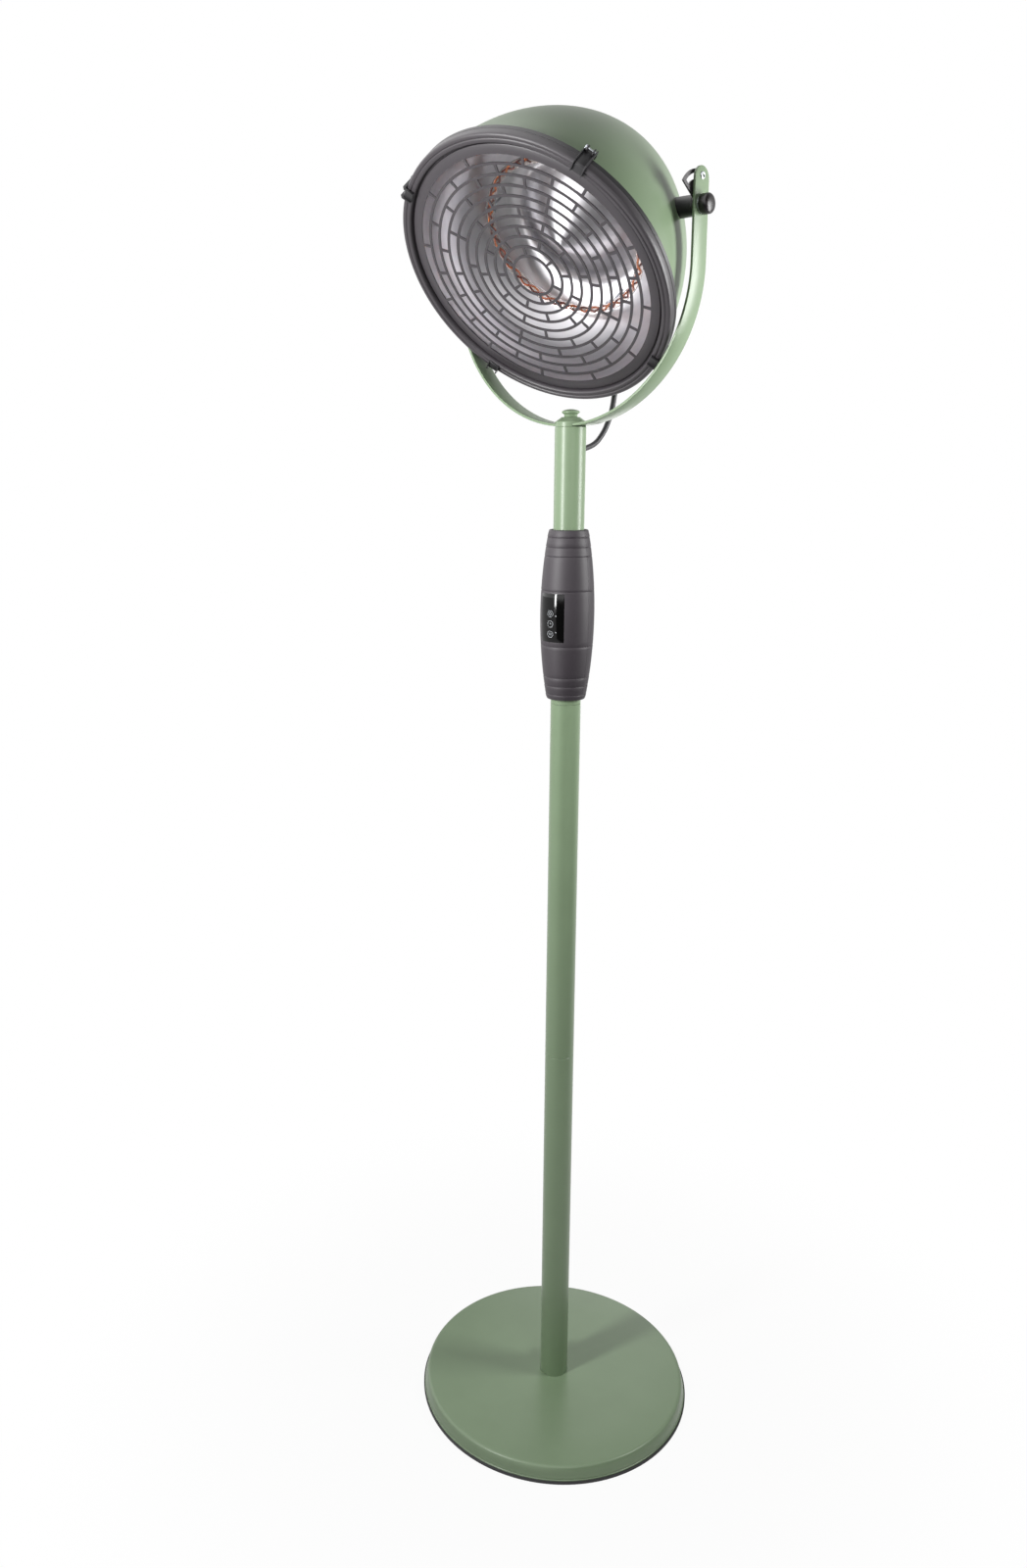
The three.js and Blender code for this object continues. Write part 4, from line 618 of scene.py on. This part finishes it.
hand_over(reflector, spun_aluminium, "head", "spun_aluminium", "reflector")

# -------------------------------------------------------------------------------------- rim ring
# A rolled steel ring of channel section wraps the flanges of dome and reflector and carries the
# guard. Guard and tilt plate are powder-coated satin charcoal; ring, clips and spacers nearly black.
charcoal_coat, black_coat = [
    mottled(name, tones, (18, 3), (0.38, 0.46), {"IOR": 1.5}, bump=(500, 2, 0.06, 0.0002))
    for name, tones in (("satin_charcoal_powder_coat", ("#423e42", "#393539")),
                        ("satin_black_powder_coat", ("#2b292c", "#222123")))]

rim = turned("rim_ring_rolled", [
    (206, 102.9), (206, 108.3), (205.6, 108.7), (188.3, 108.7), (188, 108.4), (188, 107.4), (188.3, 107.2),
    (204.2, 107.2), (204.5, 106.8), (204.5, 102.9), (205.2, 102.7), (206, 102.9)], 240)
soften(rim, 0)
hang(rim)
hand_over(rim, black_coat, "head", "black_paint", "rim_ring")

# ----------------------------------------------------------------------------------------- guard
# A pressed steel disc with ten rows of arc slots, staggered like brickwork round an open eye, and
# a rolled bead round its edge. The slots are punched, so their edges are crisp with a slight burr.
FIRST_ROW = 30
BAR = 3.8
ROW_PITCH = 14.8
BRIDGE = 4.0
ROWS = ([(6, -38)] * 4, [(8, -15.5)] * 2, [(12, -8)] * 4)

slot_rows = []
for band in ROWS:
    for i, (count, phase) in enumerate(band):
        inner = FIRST_ROW + len(slot_rows) * ROW_PITCH + BAR / 2
        outer = inner + ROW_PITCH - BAR
        pitch = 360 / count
        first = phase - (i % 2) * pitch / 2
        half = math.degrees(BRIDGE / (inner + outer))
        slots = [(first + k * pitch + half, first + (k + 1) * pitch - half) for k in range(count)]
        slot_rows.append((inner, outer, slots))

guard_profile = [(28.1, 117)]
for inner, outer, _ in slot_rows:
    guard_profile += [(inner, 117), (outer, 117)]
guard_profile += [
    (178, 117), (188.6, 117), (189.4, 116.5), (189.8, 113.5), (191.6, 113.5), (191.9, 116.8), (192.4, 118.6),
    (193.2, 120.6), (194.4, 121.5), (196.2, 121.6), (197.6, 121.5), (198.3, 120.7), (199, 120.4), (199.7, 120.7),
    (200.4, 121.5), (202.5, 121.6), (204.4, 121.2), (205.6, 120.0), (206, 118.2), (206, 109.6), (205.8, 109.1)]
guard = turned("slotted_guard", guard_profile, 360)


def turn_between(angle, start, end):
    return (angle - start) % 360 <= (end - start) % 360


def in_a_slot(face):
    reach = math.hypot(face.center.x, face.center.y) / MM
    angle = math.degrees(math.atan2(face.center.y, face.center.x))
    return any(inner < reach < outer and any(turn_between(angle, start, end) for start, end in slots)
               for inner, outer, slots in slot_rows)


for inner, outer, slots in slot_rows:
    for radius in (inner, outer):
        ring = [v for v in guard.data.vertices if abs(math.hypot(v.co.x, v.co.y) - radius * MM) < 0.05 * MM]
        for edge in [edge for slot in slots for edge in slot]:
            spot = Vector((math.cos(math.radians(edge)), math.sin(math.radians(edge)))) * radius * MM
            nearest = min(ring, key=lambda v: (v.co.xy - spot).length)
            nearest.co = (spot.x, spot.y, nearest.co.z)
delete_faces(guard, in_a_slot)
close_edit()
if min(guard.data.polygons, key=lambda face: face.center.xy.length).normal.z < 0:
    flip_faces()
apply_modifier(guard, "SOLIDIFY", thickness=1.4 * MM, offset=-1)
soften(guard, 0.3, 1, 50)
hang(guard)
hand_over(guard, charcoal_coat, "head", "black_paint", "guard")

# ----------------------------------------------------------------------------------- guard clips
# Four folded channel clips hook over the bead of the guard and grip behind the rim ring. Each has
# two raised ribs that end in ears, and a plated screw between the ears draws it tight.


def plate(outline, low, high):
    """A flat plate from an outline of (x, z) points, extruded along Y between two sides, in millimetres."""
    bpy.ops.object.select_all(action="DESELECT")
    bpy.ops.mesh.primitive_circle_add(vertices=len(outline), radius=1, fill_type="NGON")
    piece = bpy.context.object
    for vertex, (x, z) in zip(piece.data.vertices, outline):
        vertex.co = (x * MM, low * MM, z * MM)
    bpy.ops.object.mode_set(mode="EDIT")
    bpy.ops.mesh.select_mode(type="FACE")
    bpy.ops.mesh.select_all(action="SELECT")
    bpy.ops.mesh.extrude_region_move(TRANSFORM_OT_translate={"value": (0, (high - low) * MM, 0)})
    close_edit()
    return piece


def clip_side(height):
    """Outline of the clip's web, or of a rib that stands a height above it."""
    return [(206.3, 93.5), (206.3, 121.2), (205.6, 121.9), (195.3, 121.9), (194.4, 120.8), (193.6, 121.2),
            (193.6, 123.0), (194.6, 123.4 + height), (205.9 + height / 2, 123.4 + height),
            (207.8 + height, 121.6 + height / 2), (207.8 + height, 91.5), (207.2 + height, 90.6), (199, 90.6),
            (198.6, 91), (198.6, 93.1), (199, 93.5)]


EAR = [(207.4, 92.2), (212.3, 92.2), (212.9, 93), (212.9, 99), (212.0, 100.6), (207.4, 101.6)]
CLIP_HALF_WIDTH = 8.5
RIB_HEIGHT = 3
FIRST_CLIP_TURN = 43

for number in range(4):
    web = plate(clip_side(0), -CLIP_HALF_WIDTH, CLIP_HALF_WIDTH)
    ribs = [plate(clip_side(RIB_HEIGHT), side - 0.8, side + 0.8) for side in (-7.7, 7.7)]
    ears = [plate(EAR, side - 0.9, side + 0.9) for side in (-4.6, 4.6)]
    clip = joined(f"guard_clip_channel_{number + 1}", [web] + ribs + ears)
    soften(clip, 0.35, 2, 40)
    bolt = turned(f"guard_clip_screw_{number + 1}", [
        (0, -7.0), (1.4, -7.0), (1.5, -6.8), (1.5, 5.6), (3.0, 5.6), (3.1, 5.9), (3.0, 7.4), (2.4, 8.0), (0.9, 8.2),
        (0.9, 7.6), (0, 7.6)], 24)
    soften(bolt, 0)
    aim(bolt, Vector((210.2, 0, 96)) * MM, Vector((0, 1, 0)))
    turn = Matrix.Rotation(math.radians(FIRST_CLIP_TURN + 90 * number), 4, "Z")
    for piece in (clip, bolt):
        piece.matrix_world = turn @ piece.matrix_world
        hang(piece)
    hand_over(clip, black_coat, "head", "black_paint", f"guard_clip_{number + 1}")
    hand_over(bolt, bright_zinc, "head", "zinc_steel")

# ------------------------------------------------------------------------------------- ring lamp
# A quartz tube bent to a ring, with its two ends turned back through the reflector into ceramic
# holders. Two loosely twisted strands of tinted resistance wire lie in it as a chain of lozenges.
LAMP_RADIUS, LAMP_HEIGHT = 117, 31
LAMP_START, LAMP_END = math.radians(86.5), math.radians(346.5)
LAMP_BEND = 14


def lamp_point(share, spread=0.0, turn=0.0):
    """A point on the ring at a share of its length, or on a coil of a given spread round it."""
    angle = LAMP_START + (LAMP_END - LAMP_START) * share
    radius = LAMP_RADIUS + spread * math.cos(turn)
    return (radius * math.cos(angle), radius * math.sin(angle), LAMP_HEIGHT + spread * math.sin(turn))


def wire(name, points, radius, sides=6):
    """A round wire or tube through points in millimetres, made as a bevelled curve and turned to a mesh."""
    curve = bpy.data.curves.new(name, "CURVE")
    curve.dimensions = "3D"
    curve.bevel_depth = radius * MM
    curve.bevel_resolution = sides // 2 - 1
    curve.use_fill_caps = True
    spline = curve.splines.new("POLY")
    spline.points.add(len(points) - 1)
    for knot, point in zip(spline.points, points):
        knot.co = (point[0] * MM, point[1] * MM, point[2] * MM, 1)
    piece = bpy.data.objects.new(name, curve)
    bpy.context.collection.objects.link(piece)
    select_only(piece)
    bpy.ops.object.convert(target="MESH")
    piece = bpy.context.object
    bpy.ops.object.shade_smooth()
    return piece


def lamp_leg(angle, sign):
    """The bend and leg at one end of the ring: a quarter turn back, then straight through the reflector."""
    points = []
    for i in range(9):
        bend = math.pi / 2 * i / 8
        ahead = LAMP_BEND * math.sin(bend) / LAMP_RADIUS
        spot = angle + sign * ahead
        points.append((LAMP_RADIUS * math.cos(spot), LAMP_RADIUS * math.sin(spot),
                       LAMP_HEIGHT - LAMP_BEND * (1 - math.cos(bend))))
    points.append((points[-1][0], points[-1][1], -35))
    return points


ring_points = [lamp_point(i / 180) for i in range(181)]
lamp_path = lamp_leg(LAMP_START, -1)[::-1][:-1] + ring_points + lamp_leg(LAMP_END, 1)[1:]
lamp = wire("quartz_lamp_tube", lamp_path, 6, 20)
apply_modifier(lamp, "SOLIDIFY", thickness=1.1 * MM, offset=-1)
bpy.ops.object.shade_smooth()
hang(lamp)

# Fused quartz: clear, IOR 1.46, very faintly warm where the wire has fumed it.
fused_quartz = mottled("clear_fused_quartz", ("#fbf7f4", "#f4ece6"), (40, 2), 0.02,
                       {"IOR": 1.46, "Transmission Weight": 1.0})
hand_over(lamp, fused_quartz, "head", "quartz", "lamp_tube")

# Resistance wire with a tinted oxide skin: one strand is bright orange, the other dark red.
CURLS, CURL_STEPS = 15, 20
STRAND_SPREAD, STRAND_RADIUS = 3.1, 1.45
for strand_name, light, dark, half_turn, nodes in (
        ("orange", "#ee8a48", "#c8582c", 0, ("filament",)), ("dark_red", "#8e3220", "#5c1f16", math.pi, ())):
    oxide_wire = empty_material(f"{strand_name}_tinted_resistance_wire")
    where = add_node(oxide_wire, "ShaderNodeTexCoord")
    patches = add_node(oxide_wire, "ShaderNodeTexNoise", {
        "Vector": where.outputs["Object"], "Scale": 60.0, "Detail": 3.0})
    contrast = add_node(oxide_wire, "ShaderNodeMapRange", {
        "Value": patches.outputs["Fac"], "From Min": 0.4, "From Max": 0.6})
    tone = add_node(oxide_wire, "ShaderNodeMix", {
        0: contrast.outputs["Result"], 6: linear(light), 7: linear(dark)}, data_type="RGBA")
    skin = add_node(oxide_wire, "ShaderNodeBsdfPrincipled", {
        "Base Color": tone.outputs[2], "Metallic": 0.0, "Roughness": 0.5})
    add_node(oxide_wire, "ShaderNodeOutputMaterial", {"Surface": skin.outputs["BSDF"]})
    strand = wire(f"filament_strand_{strand_name}", [
        lamp_point(0.01 + 0.98 * i / (CURLS * CURL_STEPS), STRAND_SPREAD, half_turn + 2 * math.pi * i / CURL_STEPS)
        for i in range(CURLS * CURL_STEPS + 1)], STRAND_RADIUS, 8)
    hang(strand)
    hand_over(strand, oxide_wire, "head", "filament_metal", *nodes)

# The holders and the terminal block behind the reflector are unglazed ceramic, a dense matt
# off-white; the two lamp supports are plated spring wire.
steatite = mottled("unglazed_steatite_ceramic", ("#ece6d9", "#ddd6c6"), (650, 4), 0.6, {"IOR": 1.6})
dress(steatite, "lamp_holder_1", "lamp_holder_2", "terminal_block")
dress(bright_zinc, "lamp_support_1", "lamp_support_2")

# ----------------------------------------------------------------------------------- tilt pivots
# On each side a bolt runs from inside the dome through a black spacer tube and the arm into a
# moulded clamp knob. Washers of nylon and zinc-plated steel lie either side of the arm.
bakelite = mottled("polished_black_phenolic", ("#161314", "#1f1a1b"), (90, 4), (0.26, 0.34),
                   {"IOR": 1.6, "Specular IOR Level": 0.3})

for side, name, spacer_end in ((1, "right", 197.6), (-1, "left", 199.8)):
    outward = Vector((side, 0, 0))
    spacer = turned(f"pivot_spacer_{name}", [
        (5.3, 166), (13.5, 166), (13.5, spacer_end - 0.4), (13.1, spacer_end), (5.3, spacer_end), (5.3, 166)], 64)
    soften(spacer, 0)
    aim(spacer, PIVOT, outward)
    hand_over(spacer, black_coat, "head", "black_paint", f"spacer_{name}")
    knob = turned(f"clamp_knob_moulding_{name}", [
        (5.3, 207.6), (11.8, 207.6), (12.6, 207.9), (13, 208.6), (13, 216.4), (12.6, 217.6), (11.4, 218.9), (9.6, 219.9),
        (6.5, 220.5), (3.0, 220.8), (0, 220.9), (0, 217.6), (5.3, 217.6), (5.3, 207.6)], 64)
    soften(knob, 0)
    aim(knob, PIVOT, outward)
    hand_over(knob, bakelite, f"knob_{name}", "knob_plastic", f"clamp_knob_{name}")
dress(bright_zinc, "outer_washer_right", "outer_washer_left", "pivot_bolt_right", "pivot_bolt_left")
dress(bakelite, "friction_washer_right", "friction_washer_left")
dress(charcoal_coat, "tilt_quadrant")

# The stop rivet is a short hollow rivet of plated steel, peened over on the outside of the arm.
STOP_HEIGHT = 35
rivet = turned("stop_rivet_hollow", [
    (1.8, 197.2), (3, 197.2), (3, 205.8), (4.4, 205.8), (4.8, 206.1), (4.6, 206.6), (3.6, 207.0), (2.6, 206.9),
    (1.9, 206.3), (1.8, 205.6), (1.8, 197.2)], 40)
soften(rivet, 0)
aim(rivet, PIVOT + Vector((0, 0, STOP_HEIGHT)) * MM, Vector((1, 0, 0)))
hand_over(rivet, bright_zinc, "stand", "zinc_steel", "stop_rivet")

# -------------------------------------------------------------------------------- gland and lead
# A rubber gland low on the dome's back lets out the lead, a round black rubber-sheathed cable of
# 8 mm that hangs in one easy bend to the grommet at the neck, with slack for the tilt.
GLAND_DEPTH = 140


def dome_radius(depth):
    """Radius of the dome in millimetres at a depth behind its rim."""
    return DOME_RADIUS * (1 - (depth / DOME_DEPTH) ** DOME_FULLNESS) ** (1 / DOME_FULLNESS)


slope = (dome_radius(GLAND_DEPTH + 1) - dome_radius(GLAND_DEPTH - 1)) / 2
head_turn = Matrix.Rotation(HEAD_TILT, 3, "X")
gland_seat = PIVOT + head_turn @ (Vector((0, -dome_radius(GLAND_DEPTH), RIM_PLANE - GLAND_DEPTH)) * MM)
gland_out = (head_turn @ Vector((0, -1, slope))).normalized()
gland = turned("dome_cable_gland", [
    (0, -8), (5.7, -8), (5.7, -1), (10, -1), (10, 4.4), (9.4, 5), (7.9, 6.4), (7.7, 9), (6.9, 9.4), (6.9, 10.6),
    (7.5, 11), (7.4, 13.6), (6.6, 14), (6.6, 15.2), (7.1, 15.6), (6.9, 18.2), (6.2, 18.6), (6.2, 19.6), (6.5, 20),
    (6.3, 21.6), (5.6, 22), (0, 22)], 48)
soften(gland, 0)
aim(gland, gland_seat, gland_out)
hand_over(gland, moulded_rubber, "head", "rubber", "dome_gland")

LEAD_ROUTE = [
    (153.8, 1742.8), (156.6, 1733), (154.4, 1719), (147.5, 1703), (138, 1686), (127.5, 1668.5), (117.5, 1650.5),
    (109, 1634), (104, 1619), (101, 1606.5), (97, 1594.5), (90, 1581), (80, 1566.5), (66, 1553.5), (54, 1547),
    (42, 1543.3)]
mouth = gland_seat + gland_out * 22.3 * MM
route = [mouth, mouth + gland_out * 4 * MM] + [Vector((0, y, z)) * MM for y, z in LEAD_ROUTE]
route += [Vector((0, y, NECK_GROMMET_HEIGHT)) * MM for y in (31.1, 26.1)]


def eased(points, steps):
    """A smooth path through points, with a number of steps between each two."""
    padded = [points[0] * 2 - points[1]] + points + [points[-1] * 2 - points[-2]]
    path = []
    for a, b, c, d in zip(padded, padded[1:], padded[2:], padded[3:]):
        for i in range(steps):
            t = i / steps
            path.append(0.5 * ((2 * b) + (c - a) * t + (2 * a - 5 * b + 4 * c - d) * t * t
                               + (3 * b - a - 3 * c + d) * t ** 3))
    return path + [points[-1]]


lead_path = eased(route, 6)
lead = wire("head_lead", [point / MM for point in lead_path], 4, 16)

# Rubber-sheathed flex: satin black, a shade smoother than the glands.
rubber_flex = mottled("black_rubber_flex", ("#262528", "#302f32"), (600, 2), 0.45, {"IOR": 1.5},
                      bump=(600, 2, 0.1, 0.0001))
lead.data.materials.append(rubber_flex)
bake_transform(lead)
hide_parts("lead_cable")

# ------------------------------------------------------------------------------ camera and stage
# The camera stands at head height, to the right of the heater's front, and looks slightly down.
CAMERA_PLACE = (1.1307, -1.4450, 1.5283)
CAMERA_LOOK = Vector((-0.6698, 0.7146, -0.2019))
bpy.ops.object.camera_add(location=CAMERA_PLACE)
camera = bpy.context.object
camera.rotation_euler = CAMERA_LOOK.to_track_quat("-Z", "Y").to_euler()
camera.data.lens = 28.49
camera.data.sensor_width = 36
camera.data.shift_x = 0.0361
camera.data.shift_y = -0.0449
camera.data.dof.use_dof = False
bpy.context.scene.camera = camera

# A pale floor that keeps the heater's soft shadow, in a white surround. Polished parts see it
# go dark in front, towards the camera.
RIGHT = Vector((0.7296, 0.6839, 0))
TOWARDS = Vector((0.6839, -0.7296, 0))
bpy.ops.object.select_all(action="DESELECT")
bpy.ops.mesh.primitive_plane_add(size=60, location=(0, 0, -0.0005))
floor = bpy.context.object
floor.name = floor.data.name = "studio_floor"
pale_floor = empty_material("white_studio_floor")
where = add_node(pale_floor, "ShaderNodeTexCoord")
reach = add_node(pale_floor, "ShaderNodeVectorMath", {0: where.outputs["Object"]}, operation="LENGTH")
near = add_node(pale_floor, "ShaderNodeMapRange", {
    "Value": reach.outputs["Value"], "From Min": 0.25, "From Max": 0.9, "To Min": 0.95, "To Max": 1.0},
    interpolation_type="SMOOTHSTEP")
matt = add_node(pale_floor, "ShaderNodeBsdfDiffuse", {"Color": linear("#dcdcda")})
seen = add_node(pale_floor, "ShaderNodeLightPath")
ahead = add_node(pale_floor, "ShaderNodeVectorMath", {0: where.outputs["Object"], 1: TOWARDS + RIGHT * 0.6},
                 operation="DOT_PRODUCT")
mirrored = add_node(pale_floor, "ShaderNodeMapRange", {
    "Value": ahead.outputs["Value"], "From Min": 0.5, "From Max": 1.6, "To Min": 1.0, "To Max": 0.12},
    interpolation_type="SMOOTHSTEP")
glow = add_node(pale_floor, "ShaderNodeMix", {
    0: seen.outputs["Is Glossy Ray"], 2: 1.0, 3: mirrored.outputs["Result"]})
white = add_node(pale_floor, "ShaderNodeEmission", {"Color": (1, 1, 1, 1), "Strength": glow.outputs[0]})
direct = add_node(pale_floor, "ShaderNodeMath", {
    0: seen.outputs["Is Camera Ray"], 1: seen.outputs["Is Glossy Ray"]}, operation="MAXIMUM")
direct = add_node(pale_floor, "ShaderNodeMath", {
    0: direct.outputs["Value"], 1: seen.outputs["Is Transmission Ray"]}, operation="MAXIMUM")
share = add_node(pale_floor, "ShaderNodeMath", {0: direct.outputs["Value"], 1: near.outputs["Result"]},
                 operation="MULTIPLY")
blend = add_node(pale_floor, "ShaderNodeMixShader", {
    0: share.outputs["Value"], 1: matt.outputs["BSDF"], 2: white.outputs["Emission"]})
add_node(pale_floor, "ShaderNodeOutputMaterial", {"Surface": blend.outputs["Shader"]})
floor.data.materials.append(pale_floor)

# ------------------------------------------------------------------------------------- lighting
# Two narrow soft boxes stand at head height to the heater's left and right as the camera sees it,
# with little light from above, so that the dome's crown and the foot of the pole fall off darker.
# Weak fills stand in front and behind, and polished parts see a bright room to the left and a dark
# one in front.
world = bpy.data.worlds.new("white_surround")
bpy.context.scene.world = world
world.use_nodes = True
world.node_tree.nodes.clear()
seen = add_node(world, "ShaderNodeLightPath")
where = add_node(world, "ShaderNodeTexCoord")
behind = add_node(world, "ShaderNodeVectorMath", {0: where.outputs["Generated"], 1: -TOWARDS},
                  operation="DOT_PRODUCT")
level = add_node(world, "ShaderNodeMapRange", {
    "Value": behind.outputs["Value"], "From Min": -0.6, "From Max": 0.5, "To Min": 0.1, "To Max": 0.8},
    interpolation_type="SMOOTHSTEP")
sideways = add_node(world, "ShaderNodeVectorMath", {
    0: where.outputs["Generated"], 1: RIGHT * -0.85 + TOWARDS * 0.2 + Vector((0, 0, 0.48))}, operation="DOT_PRODUCT")
side_level = add_node(world, "ShaderNodeMapRange", {
    "Value": sideways.outputs["Value"], "From Min": 0.1, "From Max": 0.5, "To Min": 0.1, "To Max": 2.6},
    interpolation_type="SMOOTHSTEP")
level = add_node(world, "ShaderNodeMath", {0: level.outputs["Result"], 1: side_level.outputs["Result"]},
                 operation="MAXIMUM")
direct = add_node(world, "ShaderNodeMath", {
    0: seen.outputs["Is Camera Ray"], 1: seen.outputs["Is Transmission Ray"]}, operation="MAXIMUM")
room = add_node(world, "ShaderNodeBackground", {"Color": (1, 1, 1, 1), "Strength": 0.065})
mirror_room = add_node(world, "ShaderNodeBackground", {"Color": (1, 1, 1, 1), "Strength": level.outputs["Value"]})
backdrop = add_node(world, "ShaderNodeBackground", {"Color": (1, 1, 1, 1), "Strength": 1.0})
first = add_node(world, "ShaderNodeMixShader", {
    0: seen.outputs["Is Glossy Ray"], 1: room.outputs["Background"], 2: mirror_room.outputs["Background"]})
last = add_node(world, "ShaderNodeMixShader", {
    0: direct.outputs["Value"], 1: first.outputs["Shader"], 2: backdrop.outputs["Background"]})
add_node(world, "ShaderNodeOutputWorld", {"Surface": last.outputs["Shader"]})

for name, place, aimed_at, wide, tall, power in (
        ("left_soft_box", RIGHT * -1.05 + TOWARDS * 0.7 + Vector((0, 0, 1.62)), Vector((0, 0, 1.5)), 0.18, 0.8, 21),
        ("right_soft_box", RIGHT * 1.1 + TOWARDS * 0.2 + Vector((0, 0, 1.62)), Vector((0, 0, 1.6)), 0.4, 0.8, 18),
        ("front_fill", TOWARDS * 2.2 + RIGHT * 0.5 + Vector((0, 0, 1.9)), Vector((0, 0, 1.5)), 1.0, 1.0, 7),
        ("back_fill", TOWARDS * -2.0 + RIGHT * 0.4 + Vector((0, 0, 1.3)), Vector((0, 0, 1.5)), 0.8, 1.2, 5)):
    bpy.ops.object.light_add(type="AREA", location=place)
    lamp_box = bpy.context.object
    lamp_box.name = name
    lamp_box.rotation_euler = (aimed_at - place).to_track_quat("-Z", "Y").to_euler()
    lamp_box.data.shape = "RECTANGLE"
    lamp_box.data.size = wide
    lamp_box.data.size_y = tall
    lamp_box.data.energy = power

bpy.context.scene.view_settings.view_transform = "Standard"
